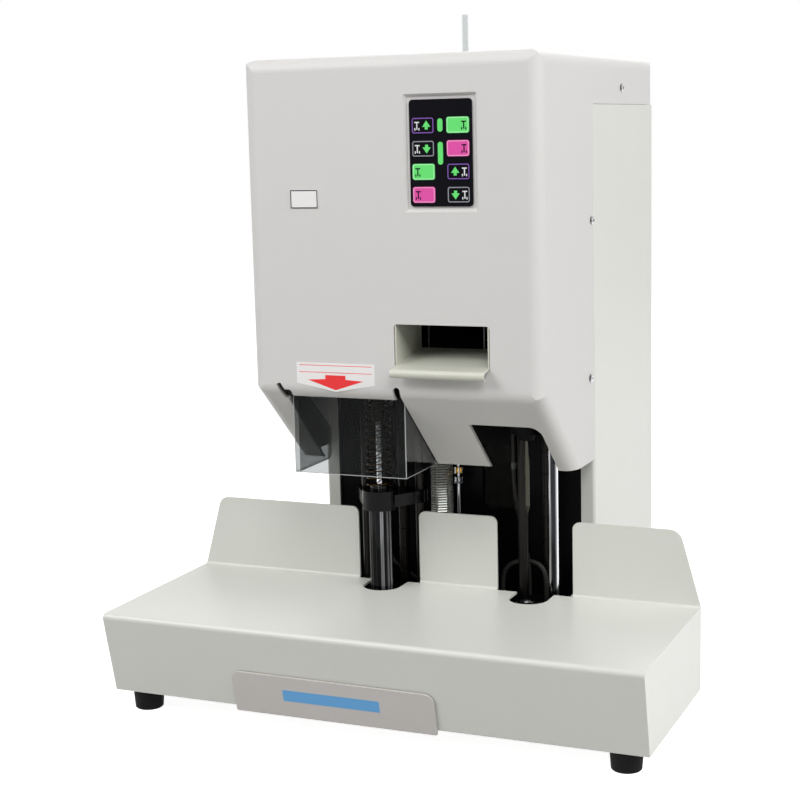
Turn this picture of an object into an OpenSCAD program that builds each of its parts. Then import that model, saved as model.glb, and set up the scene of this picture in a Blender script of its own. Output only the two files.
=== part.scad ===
// Document riveting machine: drills a stack of paper at the left and closes a plastic
// tube rivet in it at the right.
// Sizes in millimetres, Z up, X to the operator's right, Y to the back, resting on its rubber feet at Z = 0.

/* [Base] */
// Width of the table and base
machine_width = 480; // [440:5:560]
// Depth of the table from its front edge to the fence
table_depth = 182.4; // [170:0.2:220]
// Height of the table above the underside of the base
table_height = 72.8; // [70:0.2:90]
// How far the foot of the slanted front lies behind the table's edge
front_setback = 16.7; // [8:0.1:20]
// Height of the fence above the table
fence_height = 66.2; // [40:0.2:70]
// Inward lean of the fence's outer edges over its height
fence_lean = 18.5; // [8:0.5:24]
// Thickness of the folded sheet steel
sheet_t = 2; // [1.5:0.1:2.4]
// Height of a rubber foot
foot_height = 18; // [12:0.5:24]
// Diameter of a rubber foot
foot_d = 27; // [22:0.5:32]

/* [Chip drawer] */
// X of the left edge of the drawer's front plate
drawer_left = -118.7; // [-124:0.1:-100]
// Width of the drawer's front plate
drawer_width = 183.7; // [150:0.1:188]
// Height of the drawer's front plate
drawer_height = 37.1; // [30:0.1:40]
// Wall thickness of the drawer's tray
tray_t = 1.5; // [1:0.1:2]

/* [Stations] */
// X of the drilling station
drill_x = -46.5; // [-52:0.5:-44]
// Distance between the drilling and riveting stations
station_pitch = 139.5; // [136:0.5:141]
// Distance of both stations in front of the fence
station_reach = 20.4; // [18:0.2:24]
// Width of the round notches in the table
notch_w = 34.6; // [30:0.2:38]
// Height of the carriages' undersides above the table, as shown
carriage_rise = 189.2; // [186:0.2:196]
// Thickness of the carriages
carriage_t = 28; // [22:1:34]
// Outer diameter of the press foot's sleeve
sleeve_d = 20.8; // [18:0.2:24]
// Diameter of the hollow drill
drill_d = 5; // [4:0.1:7]
// Diameter of the riveting needle
needle_d = 4; // [3:0.1:5]
// Height of the needle's tip above the table
needle_rise = 76.4; // [70:0.2:84]
// Diameter of the guide rods at the riveting station
rivet_rod_d = 9.2; // [8:0.1:10]
// Diameter of the guide rods at the drilling station
drill_rod_d = 7.6; // [6:0.1:9]
// Diameter of the two lead screws
screw_d = 10; // [8:0.5:12]

/* [Springs] */
// Outer diameter of the press foot's spring
foot_spring_d = 23.4; // [22:0.2:25]
// Wire diameter of the press foot's spring
foot_wire_d = 1.3; // [1:0.1:2.2]
// Curls in the press foot's spring
foot_curls = 16; // [12:1:18]
// Outer diameter of the buffer spring
buffer_spring_d = 22.5; // [21:0.2:23]
// Wire diameter of the buffer spring
buffer_wire_d = 1.8; // [1.4:0.1:2]
// Curls in the buffer spring
buffer_curls = 24; // [18:1:25]

/* [Casing] */
// Width of the casing and the column
casing_width = 265.2; // [262:0.2:276]
// Distance of the casing's front face in front of the fence
casing_reach = 92; // [90:0.5:104]
// Height of the column above the table
column_rise = 424.6; // [422:0.2:440]
// Depth of the column from the fence to its rear
column_reach = 246.3; // [236:0.1:260]
// Height of the casing's cap above the column
cap_height = 42.9; // [42:0.1:60]
// Wall thickness of the moulded casing
wall = 3; // [2.4:0.1:3.4]
// Height of the bend between the front and the slanted lower face, above the table
bend_rise = 187.6; // [186:0.2:190]
// Height of the casing's lower edge above the table
skirt_rise = 113.2; // [108:0.2:118]
// Thickness of the clear guard
guard_t = 3; // [2:0.1:3.4]
// Outer diameter of the clear feed tube
tube_d = 5.3; // [4:0.1:6]
// How far the feed tube stands out of the cap
tube_stand = 35.4; // [10:0.2:60]

/* [Fits] */
// Radial clearance of a running or fitted round pair
fit = 0.05; // [0.03:0.01:0.08]
// Gap between neighbouring pieces
seam = 0.3; // [0.3:0.05:0.6]

/* [Hidden] */
$fn = 64;

half_w = machine_width / 2;
half_c = casing_width / 2;
rivet_x = drill_x + station_pitch;
rear_proud = 2.6;
bend_r = 4;
lean = atan(front_setback / table_height);
front_in = bend_r * (front_setback / table_height + 1 / cos(lean) - 1);
floor_z = -table_height;
plate_top = floor_z + sheet_t;
bed_top = -16.8;
bed_t = 17.2;
rod_y = sheet_t + 5.6;
screw_y = 32.6;
head_z = column_rise - 13.4;
top_t = 8;
back_y = 53.6;
back_t = 6;
column_y = 49.6;
cap_top = column_rise + cap_height;
slant_back = 9.4;
slant_run = casing_reach - slant_back;
slant_rise = bend_rise - skirt_rise;
slant_len = norm([slant_run, slant_rise]);
slot_dl = drill_x - 31.5;
slot_dr = drill_x + 28.6;
slot_rl = rivet_x - 36.2;
slot_rr = rivet_x + 34;
tab_left = 5.9;
tab_right = 55.6;
pivot_y = -casing_reach + 12;
pivot_z = bend_rise + 7.4;
guard_y = -casing_reach + 13;
chute_l = 2;
chute_r = 87;
chute_z = bend_rise + 22.6;
tube_x = 29;
tube_y = 15.6;
buffer_x = -10.7;
buffer_y = 39.6;
buffer_z = 47;
pad_top = -8.8;
inlet_x = 80;
inlet_z = 8;
switch_up = 27;
lip_r = 3.8;
lip_y = -casing_reach - 9.6;
cutter_z = head_z - 97.2;
blade_z = cutter_z - 7.2;
motor_z = cutter_z + 23;
ramp_end = cutter_z - 58.76;
board_z = head_z - 185.2;
motor_len = 88;
panel_x = 14.8;
panel_z = cap_top - 127.6;
panel_w = 64.1;
panel_h = 95.3;
film_y = -casing_reach + 2.8;
film_l = panel_x + 4.8;
film_b = panel_z + 4.5;
film_w = 54.5;
film_h = 86.2;
key_w = 19.5;
key_h = 13;

powder = [0.84, 0.85, 0.81];
moulded = [0.86, 0.85, 0.84];
black = [0.07, 0.07, 0.08];
rubber = [0.06, 0.06, 0.06];
steel = [0.7, 0.71, 0.73];
brass = [0.72, 0.58, 0.3];
zinc = [0.62, 0.63, 0.62];

// Puts a piece drawn from the fence's foot at table height into the frame of the whole machine.
module place() translate([0, (table_depth - front_in - column_reach - rear_proud) / 2, foot_height + table_height])
  children();

// Draws a (Y, Z) outline as a solid from x0 to x1.
module along_x(x0, x1) translate([x0, 0, 0]) rotate([90, 0, 90]) linear_extrude(x1 - x0) children();

// Draws an (X, Z) outline as a solid from y0 to y1.
module along_y(y0, y1) translate([0, y1, 0]) rotate([90, 0, 0]) linear_extrude(y1 - y0) children();

// Box from one corner to the opposite one.
module box(a, b) translate(a) cube(b - a);

// Upright cylinder between two heights.
module post(x, y, z0, z1, d) translate([x, y, z0]) cylinder(d = d, h = z1 - z0);

function unit(v) = v / norm(v);
function turn(a, b) = a.x * b.y - a.y * b.x;

// Points of one rounded corner at p between its neighbours a and b.
function corner(a, p, b, r, n) =
  let (u = unit(a - p), v = unit(b - p), half = acos(u * v) / 2)
  let (c = p + unit(u + v) * r / sin(half), s = p + u * r / tan(half) - c, e = p + v * r / tan(half) - c)
  let (start = atan2(s.y, s.x), sweep = (180 - 2 * half) * sign(turn(s, e)))
  [for (i = [0:n]) c + r * [cos(start + sweep * i / n), sin(start + sweep * i / n)]];

// Outline with its corners rounded; each point is x, y and a radius.
function soft(pts, n = 5) =
  [for (k = [0:len(pts) - 1])
    let (m = len(pts), p = pts[k], a = pts[(k + m - 1) % m], b = pts[(k + 1) % m])
    each (p[2] > 0 ? corner([a.x, a.y], [p.x, p.y], [b.x, b.y], p[2], n) : [[p.x, p.y]])];

// Rectangle with rounded corners as points.
function soft_rect(x0, y0, x1, y1, r, n = 5) = soft([[x0, y0, r], [x1, y0, r], [x1, y1, r], [x0, y1, r]], n);

// Y of the slanted base front at height z.
function front_y(z) = -table_depth - z * front_setback / table_height;

// Y of the casing's slanted face at height z.
function slant_y(z) = -slant_back - (z - skirt_rise) * slant_run / slant_rise;

// Z of the casing's slanted face at depth y.
function slant_z(y) = skirt_rise + (-slant_back - y) * slant_rise / slant_run;

// The table, slanted front and fence, folded from one sheet, with the walls of the base.
module base_table() color(powder) place() {
  inner = sheet_t / cos(lean);
  difference() {
    along_x(-half_w, half_w) polygon(soft([
      [front_y(floor_z), floor_z, 0], [-table_depth, 0, bend_r], [0, 0, 2], [0, fence_height + 6, 0],
      [sheet_t, fence_height + 6, 0], [sheet_t, -sheet_t, 2 + sheet_t], [front_y(-sheet_t) + inner, -sheet_t, 2],
      [front_y(floor_z) + inner, floor_z, 0]]));
    along_y(-2.2, sheet_t + 1) polygon(soft([
      [-half_w - 1, fence_height + 9, 0], [-half_w - 1, 0.5, 0], [-half_w, 0.5, 0],
      [-half_w + fence_lean, fence_height, 9], [slot_dl, fence_height, 6], [slot_dl, -sheet_t - 6, 0],
      [slot_dr, -sheet_t - 6, 0], [slot_dr, fence_height, 6], [slot_rl, fence_height, 6],
      [slot_rl, -sheet_t - 6, 0], [slot_rr, -sheet_t - 6, 0], [slot_rr, fence_height, 6],
      [half_w - fence_lean, fence_height, 12], [half_w, 0.5, 0], [half_w + 1, 0.5, 0],
      [half_w + 1, fence_height + 9, 0]]));
    for (x = [drill_x, rivet_x]) {
      post(x, -station_reach, -sheet_t - 1, 1, notch_w);
      box([x - notch_w / 2, -station_reach, -sheet_t - 1], [x + notch_w / 2, 0, 1]);
    }
    box([drawer_left + 3, front_y(floor_z) - 14, floor_z + 3],
      [drawer_left + drawer_width - 3, -table_depth + 30, floor_z + 31]);
  }
  for (s = [-1, 1]) {
    along_x(min(s * half_w, s * (half_w - sheet_t)), max(s * half_w, s * (half_w - sheet_t)))
      polygon(soft([[front_y(floor_z), floor_z, 0], [-table_depth, 0, bend_r], [sheet_t, 0, 0],
        [sheet_t, floor_z, 0]]));
    side_rear(s);
  }
}

// Rear wall of one wing of the base, the short side wall in front of the column and its upper flange.
module side_rear(s) mirror([s < 0 ? 1 : 0, 0, 0]) {
  box([half_c - sheet_t, 0, floor_z], [half_w, sheet_t, -1]);
  box([half_c - sheet_t, 0, floor_z], [half_c, column_y - seam, 0]);
  box([half_c - 8, sheet_t - 0.5, -sheet_t], [half_c, column_y - seam, 0]);
}

// Centres of the four feet.
function feet() = [for (s = [-1, 1], p = [[half_w - 23, -table_depth + 33], [half_c - 22.6, column_reach - 28.7]])
  [s * p.x, p.y]];

// Flat plate that closes the base from below and carries the feet and the frame.
module base_plate() color(powder) place() difference() {
  union() {
    box([-half_w + sheet_t + seam, front_y(floor_z) + 3.5, floor_z], [half_w - sheet_t - seam, -seam, plate_top]);
    box([-half_c + sheet_t + seam, -1, floor_z], [half_c - sheet_t - seam, column_reach - 5, plate_top]);
  }
  for (p = feet()) post(p.x, p.y, floor_z - 1, plate_top + 1, 4.6);
  for (x = [-60 : 20 : 60], y = [150, 180]) box([x - 2, y, floor_z - 1], [x + 2, y + 18, plate_top + 1]);
}

// Four turned rubber feet with a recess for their screws.
module rubber_feet() color(rubber) place() for (p = feet()) translate([p.x, p.y, floor_z - foot_height])
  rotate_extrude() polygon([[5.6, 0], [foot_d / 2 - 2.2, 0], [foot_d / 2 - 1.2, 1], [foot_d / 2, foot_height - 2],
    [foot_d / 2, foot_height], [2.35, foot_height], [2.35, 8], [5.6, 8]]);

// Screw and nut of each foot.
module foot_screws() color(zinc) place() for (p = feet()) translate([p.x, p.y, floor_z]) difference() {
  union() {
    rotate_extrude() polygon([[0, 5 - foot_height], [4.4, 5 - foot_height], [4.4, 8 - foot_height],
      [2.05, 8 - foot_height], [2.05, sheet_t + 7], [0, sheet_t + 7]]);
    translate([0, 0, sheet_t]) cylinder(d = 8, h = 3.2, $fn = 6);
  }
  translate([0, 0, 4 - foot_height]) box([-0.5, -3, 0], [0.5, 3, 2]);
}

// Two angle rails that guide the drawer's tray on the base plate.
module drawer_runners() color(zinc) place() for (s = [0, 1]) {
  x = s == 0 ? drawer_left + 5.2 : drawer_left + drawer_width - 5.2;
  side = s == 0 ? 1 : -1;
  along_y(-table_depth + 30, -6) polygon([[x, plate_top], [x - side * 9, plate_top], [x - side * 9, plate_top + 1.4],
    [x - side * 1.4, plate_top + 1.4], [x - side * 1.4, plate_top + 14], [x, plate_top + 14]]);
}

// Open sheet tray that catches the drilled chips; its front follows the slanted base.
module drawer_tray() color(zinc) place() {
  l = drawer_left + 6.7;
  r = drawer_left + drawer_width - 6.7;
  b = floor_z + 3.7;
  h = floor_z + 29;
  difference() {
    along_x(l, r) polygon([[front_y(b) - 0.8, b], [-12, b], [-12, h], [front_y(h) - 0.8, h]]);
    along_x(l + tray_t, r - tray_t) polygon([[front_y(b + tray_t) + tray_t, b + tray_t], [-12 - tray_t, b + tray_t],
      [-12 - tray_t, h + 5], [front_y(h + 5) + tray_t, h + 5]]);
  }
}

// Slanted front plate of the drawer, a little proud of the base, with a folded finger lip below.
module drawer_front() color([0.67, 0.65, 0.64]) place() {
  s0 = -3.4 / cos(lean);
  s1 = (drawer_height - 3.4) / cos(lean);
  translate([0, front_y(floor_z), floor_z]) rotate([lean, 0, 0]) {
    along_y(-2.5, -0.78) polygon(soft([[drawer_left, s0, 1.5], [drawer_left + drawer_width, s0, 1.5],
      [drawer_left + drawer_width, s1 - 1, 8], [drawer_left, s1, 8]]));
    box([drawer_left + 30, -2.5, s0], [drawer_left + drawer_width - 30, 6, s0 + 1.5]);
  }
}

// Folded column that holds the frame and the electrics, open to the front between its flanges.
module column_shell() color(powder) place() {
  difference() {
    linear_box([-half_c, column_y], [half_c, column_reach], floor_z, column_rise, 3);
    linear_box([-half_c + sheet_t, column_y + sheet_t], [half_c - sheet_t, column_reach - 2 * sheet_t],
      floor_z - 1, column_rise - sheet_t, 1.2);
    box([-half_c + 13, column_y - 1, floor_z - 1], [half_c - 13, column_y + 3, column_rise + 1]);
    box([-half_c + sheet_t, column_reach - sheet_t, floor_z - 1],
      [half_c - sheet_t, column_reach + 1, column_rise + 1]);
    box([-half_c + 16, column_reach - 20, floor_z - 1], [half_c - 16, column_reach + 1, column_rise - 24]);
    box([-half_c + 13, column_y - 1, column_rise - 5], [half_c - 13, column_reach - 20, column_rise + 1]);
    box([-half_c + sheet_t, column_y - 1, floor_z - 1], [half_c - sheet_t, column_reach + 1, plate_top + seam]);
    for (p = rear_holes()) translate([p.x, column_reach - 8, p.y]) rotate([-90, 0, 0])
      cylinder(r = 1.95 + fit, h = 7);
  }
  for (s = [0, 1]) mirror([s, 0, 0]) difference() {
    union() {
      for (p = [side_holes()[1], side_holes()[2]])
        box([half_c - wall - seam - sheet_t, p.x - 8, p.y - 9], [half_c - wall - seam, column_y + 1, p.y + 9]);
      box([half_c - wall - seam - sheet_t, side_holes()[0].x - 10, column_rise - 1],
        [half_c - wall - seam, side_holes()[0].x + 10, column_rise + 24]);
    }
    for (p = side_holes()) translate([half_c - 9, p.x, p.y]) rotate([0, 90, 0]) cylinder(r = 1.95 + fit, h = 9);
  }
}

// Upright block with rounded upright edges.
module linear_box(a, b, z0, z1, r) translate([0, 0, z0]) linear_extrude(z1 - z0)
  polygon(soft_rect(a.x, a.y, b.x, b.y, r));

// Rear panel with vent slots and cut-outs for the inlet and the switch.
module rear_panel() color(powder) place() difference() {
  box([-half_c + sheet_t + seam, column_reach - 1.7, floor_z + 3],
    [half_c - sheet_t - seam, column_reach, column_rise - 3]);
  for (x = [-70, 0, 70], z = [column_rise - 150 : 14 : column_rise - 66])
    along_y(column_reach - 3, column_reach + 1) polygon(soft_rect(x - 27, z, x + 27, z + 5, 2.4));
  box([inlet_x - 14.3, column_reach - 3, inlet_z - 10.8], [inlet_x + 14.3, column_reach + 1, inlet_z + 10.8]);
  box([inlet_x - 12.3, column_reach - 3, inlet_z + 9],
    [inlet_x + 12.3, column_reach + 1, inlet_z + switch_up + 10.6]);
  for (p = rear_holes()) translate([p.x, column_reach - 3, p.y]) rotate([-90, 0, 0]) cylinder(d = 4.4, h = 5);
}

function rear_holes() = [for (x = [-half_c + 9, half_c - 9], z = [floor_z + 20, 110, 250, column_rise - 14])
  [x, z]];

// Pan screw lying along Y with its head to the back.
module rear_screw(y) rotate([-90, 0, 0]) difference() {
  rotate_extrude() polygon([[0, y - 9], [1.95, y - 9], [1.95, y], [3.8, y], [3.8, y + 1.6], [2.6, y + 2.6],
    [0, y + 2.6]]);
  translate([0, 0, y + 1.2]) box([-0.5, -2.4, 0], [0.5, 2.4, 3]);
}

// Power inlet with its socket, three blades and the frame of the power switch above it.
module power_inlet() color(black) place() translate([inlet_x, 0, inlet_z]) {
  difference() {
    union() {
      along_y(column_reach, column_reach + 1.6) polygon(soft_rect(-25, -12.5, 25, 41, 3));
      along_y(column_reach - 22, column_reach + 0.5) polygon(soft_rect(-14, -10.5, 14, 10.5, 2));
      along_y(column_reach - 14, column_reach + 0.5)
        polygon(soft_rect(-12, switch_up - 10.3, 12, switch_up + 10.3, 0.8));
    }
    along_y(column_reach - 12, column_reach + 3)
      polygon(soft_rect(-5.6, switch_up - 8.8, 5.6, switch_up + 8.8, 0.5));
    translate([-9, column_reach - 3, switch_up]) rotate([0, 90, 0]) cylinder(r = 1.2 + fit, h = 18);
    along_y(column_reach - 18, column_reach + 3)
      polygon(soft([[-12, -8, 2], [12, -8, 2], [12, 4, 0], [8, 8, 0], [-8, 8, 0], [-12, 4, 0]]));
    for (x = [-20, 20]) translate([x, column_reach - 3, 0]) rotate([-90, 0, 0]) cylinder(d = 3.4, h = 8);
  }
  for (x = [-7, 0, 7])
    box([x - 1, column_reach - 19, x == 0 ? -1 : -5], [x + 1, column_reach - 4, x == 0 ? 4 : 0]);
}

// Rocker of the power switch with its axle, resting in its off position.
module power_rocker() color([0.5, 0.05, 0.04]) place()
  translate([inlet_x, column_reach - 3, inlet_z + switch_up]) {
    along_x(-5.2, 5.2) polygon([[0, -3], [2.4, -8], [4, -8], [4.5, 0], [2.4, 7.6], [0.6, 7.6], [-2.4, 3], [-4, 0]]);
    translate([-8, 0, 0]) rotate([0, 90, 0]) cylinder(r = 1.2, h = 16);
  }

// Plan, side and front outlines of the casing, drawn in by d.
module casing_solid(d) intersection() {
  along_x(-half_c + d, half_c - d) polygon(casing_side(d));
  translate([0, 0, skirt_rise - 30]) linear_extrude(cap_top - skirt_rise + 40)
    polygon(soft_rect(-half_c + d, -casing_reach + d, half_c - d, column_reach - d + 3, 12 - d, 10));
  translate([0, -slant_back, skirt_rise]) rotate([atan2(slant_run, slant_rise), 0, 0])
    translate([0, 0, -400]) linear_extrude(900) polygon(soft([[-half_c + d, d, 12 - d], [half_c - d, d, 12 - d],
      [half_c - d, 700, 0], [-half_c + d, 700, 0]], 10));
  along_y(-casing_reach - 5, column_reach + 5) polygon(soft([[-half_c + d, skirt_rise - 40, 0],
    [half_c - d, skirt_rise - 40, 0], [half_c - d, cap_top - d, 11 - d], [-half_c + d, cap_top - d, 11 - d]], 8));
}

// Side outline of the casing; the inner one runs on past the open edges.
function casing_side(d) = d == 0
  ? soft([[-casing_reach, bend_rise, 14], [-casing_reach, cap_top, 11], [column_reach, cap_top, 6],
    [column_reach, column_rise + seam, 0], [column_y - seam, column_rise + seam, 0], [column_y - seam, skirt_rise, 4],
    [-slant_back, skirt_rise, 4]], 8)
  : let (off = d * slant_len / slant_run)
    soft([[-casing_reach + d, slant_z(-casing_reach + d) + off, 11], [-casing_reach + d, cap_top - d, 8],
    [column_reach - d, cap_top - d, 4], [column_reach - d, column_rise - 20, 0], [column_y + 5, column_rise - 20, 0],
    [column_y + 5, skirt_rise - 20, 0], [slant_y(skirt_rise - 20 - off), skirt_rise - 20, 0]]);

// Moulded casing with its slanted lower face, two legs and tab, and openings for panel, chute, guard and tube.
module front_cover() color(moulded) place() difference() {
  union() {
    difference() {
      casing_solid(0);
      casing_solid(wall);
    }
    box([panel_x - 5, -casing_reach + wall - 0.1, panel_z - 5],
      [panel_x + panel_w + 5, -casing_reach + wall + 2.6, panel_z + panel_h + 5]);
  }
  low = skirt_rise - 10;
  along_y(-casing_reach - 2, column_y) polygon(soft([[-108, low, 0], [tab_left, low, 0],
    [tab_left, bend_rise - 5.4, 1], [-103, bend_rise - 5.4, 2]]));
  along_y(-casing_reach - 2, column_y) polygon(soft([[tab_right, low, 0], [118, low, 0], [118, bend_rise - 27.9, 9],
    [tab_right, bend_rise - 27.9, 1]]));
  along_y(-casing_reach - 2, -casing_reach + 12) {
    polygon(soft_rect(-0.5, bend_rise - 8, tab_left, bend_rise + 6.2, 3.1));
    polygon(soft([[-105.4, bend_rise - 8, 0], [-96.5, bend_rise - 8, 0], [-96.5, bend_rise + 0.5, 2],
      [-102.6, bend_rise + 0.5, 0.8], [-105.7, bend_rise + 6.6, 1.9], [-110.3, bend_rise + 5.6, 1.9]]));
  }
  along_y(-casing_reach - 2, -casing_reach + 12)
    polygon(soft_rect(chute_l, chute_z, chute_r, chute_z + 37, 3));
  hull() {
    box([panel_x, -casing_reach - 0.1, panel_z], [panel_x + panel_w, -casing_reach, panel_z + panel_h]);
    box([panel_x + 2.4, film_y - 0.1, panel_z + 2.4], [panel_x + panel_w - 2.4, film_y, panel_z + panel_h - 2.4]);
  }
  post(tube_x, tube_y, cap_top - wall - 1, cap_top + 1, 12);
  for (p = side_holes()) translate([-half_c - 1, p.x, p.y]) rotate([0, 90, 0])
    cylinder(d = 4.4, h = casing_width + 2);
}

function side_holes() = [[column_y + 88.3, column_rise + 14.9], [42.7, 325.3], [37.7, skirt_rise + 74.5]];

// Button screw with a socket, its head on the face at z = 0.
module side_screw() difference() {
  rotate_extrude() polygon([[0, -8], [1.95, -8], [1.95, 0], [4.2, 0], [4, 1.2], [2.8, 2], [0, 2.2]]);
  translate([0, 0, 1]) cylinder(d = 2.6, h = 2, $fn = 6);
}

// Screws in both sides of the casing and round the rear panel.
module case_screws() color(steel) place() {
  for (s = [0, 1], p = side_holes()) mirror([s, 0, 0]) translate([half_c, p.x, p.y]) rotate([0, 90, 0])
    side_screw();
  for (p = rear_holes()) translate([p.x, 0, p.y]) rear_screw(column_reach);
}

// Centres of the eight keys on the panel, counted from its left column, top row first.
function key_at(c, r) = [film_l + (c == 0 ? 12.05 : 42.4), film_b + film_h - 20.9 - 18.6 * r];

// Printed panel with a pocket for each key.
module panel_film() color([0.08, 0.08, 0.12]) place() difference() {
  along_y(film_y - 1.4, film_y) polygon(soft_rect(film_l, film_b, film_l + film_w, film_b + film_h, 3));
  for (c = [0, 1], r = [0 : 3]) along_y(film_y - 2, film_y - 0.15)
    polygon(soft_rect(key_at(c, r).x - key_w / 2 - seam, key_at(c, r).y - key_h / 2 - seam,
      key_at(c, r).x + key_w / 2 + seam, key_at(c, r).y + key_h / 2 + seam, 2.3));
  for (k = [0, 1]) along_y(film_y - 2, film_y - 0.9) polygon(soft(lamp(k, 0.1)));
}

// Outline of one of the two lamp windows, grown by g.
function lamp(k, g) =
  let (x = film_l + 27, z = film_b + film_h - (k == 0 ? 20.8 : 43.35), w = 2.2 + g, h = (k == 0 ? 5.3 : 9.15) + g)
  [[x - w, z - h, 2.1], [x + w, z - h, 2.1], [x + w, z + h, 2.1], [x - w, z + h, 2.1]];

// Two green lamp windows between the key columns.
module panel_lamps() color([0.4, 0.88, 0.48]) place() for (k = [0, 1])
  along_y(film_y - 1.6, film_y - 0.9) polygon(soft(lamp(k, 0)));

// One key of the panel.
module key(c, r) let (p = key_at(c, r)) along_y(film_y - 1.8, film_y - 0.75)
  polygon(soft_rect(p.x - key_w / 2, p.y - key_h / 2, p.x + key_w / 2, p.y + key_h / 2, 2));
module key_drill_up() color([0.35, 0.2, 0.5]) place() key(0, 0);
module key_drill_down() color([0.3, 0.3, 0.34]) place() key(0, 1);
module key_drill_auto() color([0.4, 0.88, 0.48]) place() key(0, 2);
module key_drill_reset() color([0.88, 0.31, 0.65]) place() key(0, 3);
module key_rivet_press() color([0.4, 0.88, 0.48]) place() key(1, 0);
module key_rivet_reset() color([0.88, 0.31, 0.65]) place() key(1, 1);
module key_rivet_up() color([0.35, 0.2, 0.5]) place() key(1, 2);
module key_rivet_down() color([0.3, 0.3, 0.34]) place() key(1, 3);

// Clear guard in front of the drill: a front plate, a narrow back-swept wall at each side and two hinge ears.
module clear_guard() color([0.8, 0.85, 0.87, 0.35]) place() {
  gl = -100.5;
  gr = tab_left - 0.9;
  box([gl, guard_y, skirt_rise], [gr, guard_y + guard_t, bend_rise - 7.3]);
  for (x = [gl, gr - guard_t]) difference() {
    union() {
      along_x(x, x + guard_t) polygon(soft([[guard_y, skirt_rise, 0], [-11.4, skirt_rise, 7],
        [-11.4, skirt_rise + 28.4, 3], [pivot_y + 6, pivot_z - 1, 0], [guard_y, pivot_z - 1, 0]]));
      translate([x, pivot_y, pivot_z]) rotate([0, 90, 0]) cylinder(d = 12, h = guard_t);
    }
    translate([x - 1, pivot_y, pivot_z]) rotate([0, 90, 0]) cylinder(r = 2 + fit, h = guard_t + 2);
  }
}

// Brackets behind the casing's front wall with the guard's two pivot pins.
module guard_pins() color(zinc) place() {
  for (e = [[-108, -101.5, -109, -97.3], [tab_left + 0.6, tab_left + 7, 1.7, tab_left + 8]]) {
    difference() {
      along_x(e[0], e[1]) polygon(soft([[-casing_reach + wall, pivot_z + 1.5, 0], [pivot_y - 3.5, pivot_z - 5, 0],
        [pivot_y + 4, pivot_z - 5, 3], [pivot_y + 4, pivot_z + 5, 3], [-casing_reach + wall, pivot_z + 14, 0]]));
      translate([e[0] - 1, pivot_y, pivot_z]) rotate([0, 90, 0]) cylinder(r = 2 + fit, h = 9);
    }
    translate([e[2], pivot_y, pivot_z]) rotate([0, 90, 0]) cylinder(r = 2, h = e[3] - e[2]);
  }
}

// Height of the chute's floor at depth y.
function chute_floor(y) = chute_z + 1 + 0.15 * (y - lip_y);

// Cream sheet chute: a floor rolled down at its front lip, side walls, and a narrower ramp that
// runs up to the cutter behind it.
module tube_chute() color([0.85, 0.86, 0.8]) place() {
  l = chute_l + 0.8;
  r = chute_r - 0.8;
  t = 1.2;
  rear = -36;
  face = -casing_reach + 0.6;
  top = chute_z + 36;
  ramp = chute_floor(rear);
  curl_z = chute_z + 1 - lip_r;
  along_x(l, r)
    polygon([[lip_y, chute_floor(lip_y)], [rear, ramp], [rear, ramp - t], [lip_y, chute_floor(lip_y) - t]]);
  along_x(l, r) polygon(concat([for (a = [90 : 15 : 285]) [lip_y + lip_r * cos(a), curl_z + lip_r * sin(a)]],
    [for (a = [285 : -15 : 90]) [lip_y + (lip_r - t) * cos(a), curl_z + (lip_r - t) * sin(a)]]));
  for (x = [l, r - t]) along_x(x, x + t)
    polygon([[face, chute_floor(face) - t], [rear, ramp - t], [rear, top], [face, top]]);
  difference() {
    along_x(10, 62)
      polygon([[rear - 0.5, ramp - 1.3], [30, ramp_end], [30, ramp_end + 21.8], [rear - 0.5, ramp + 30]]);
    along_x(11.2, 60.8)
      polygon([[rear - 4, ramp - 2], [31, ramp_end + 1.7], [31, ramp_end + 90], [rear - 4, ramp_end + 90]]);
  }
  for (x = [10, 60.8]) box([x, 29, ramp_end + 3.8], [x + t, back_y, ramp_end + 18.8]);
}

// Cast bed that carries both stations, standing on the base plate on two side cheeks and a rear wall.
module frame_bed() color(black) place() difference() {
  union() {
    box([-118.8, -48, bed_top - bed_t], [118.8, 118, bed_top]);
    for (s = [-1, 1]) box([s * 114.8 - 4, -5, plate_top], [s * 114.8 + 4, 118, bed_top - 1]);
    box([-118.8, 106, plate_top], [118.8, 118, bed_top - 1]);
    for (x = [-80, -20, 40]) box([x - 3, -46, bed_top - bed_t - 6], [x + 3, 107, bed_top - 1]);
  }
  for (x = rod_xs(drill_x)) post(x, rod_y, -30, 0, drill_rod_d + 2 * fit);
  for (x = rod_xs(rivet_x)) post(x, rod_y, -30, 0, rivet_rod_d + 2 * fit);
  for (x = [drill_x, rivet_x]) post(x, screw_y, -30, 0, 8 + 2 * fit);
  post(rivet_x, -station_reach, -60, 0, 16 + 2 * fit);
  box([drill_x - 26, -44, -60], [drill_x - 23, 0, 0]);
  post(buffer_x, buffer_y, -28, 0, 8 + 2 * fit);
  post(buffer_x + 16.5, buffer_y, -28, 0, 4 + 2 * fit);
}

// X of the two guide rods of a station.
function rod_xs(x) = x < 0 ? [x - 26.5, x + 26.5] : [x - 14, x + 14];

// Upright plate behind both stations, with ribs towards the rear.
module back_plate() color(black) place() {
  difference() {
    box([-119, back_y, bed_top], [119, back_y + back_t, head_z]);
    for (x = [-80, 40], z = [60, 150, 240]) along_y(back_y - 1, back_y + back_t + 1)
      polygon(soft_rect(x - 16, z, x + 16, z + 60, 6));
    translate([tube_x - 11, back_y - 1, motor_z]) rotate([-90, 0, 0]) cylinder(d = 18, h = back_t + 2);
  }
  for (x = [-116, 112]) along_x(x, x + 4)
    polygon([[back_y + back_t - 0.5, bed_top], [116, bed_top], [back_y + back_t + 12, 60],
    [back_y + back_t + 12, head_z - 60], [112, head_z], [back_y + back_t - 0.5, head_z]]);
}

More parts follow.
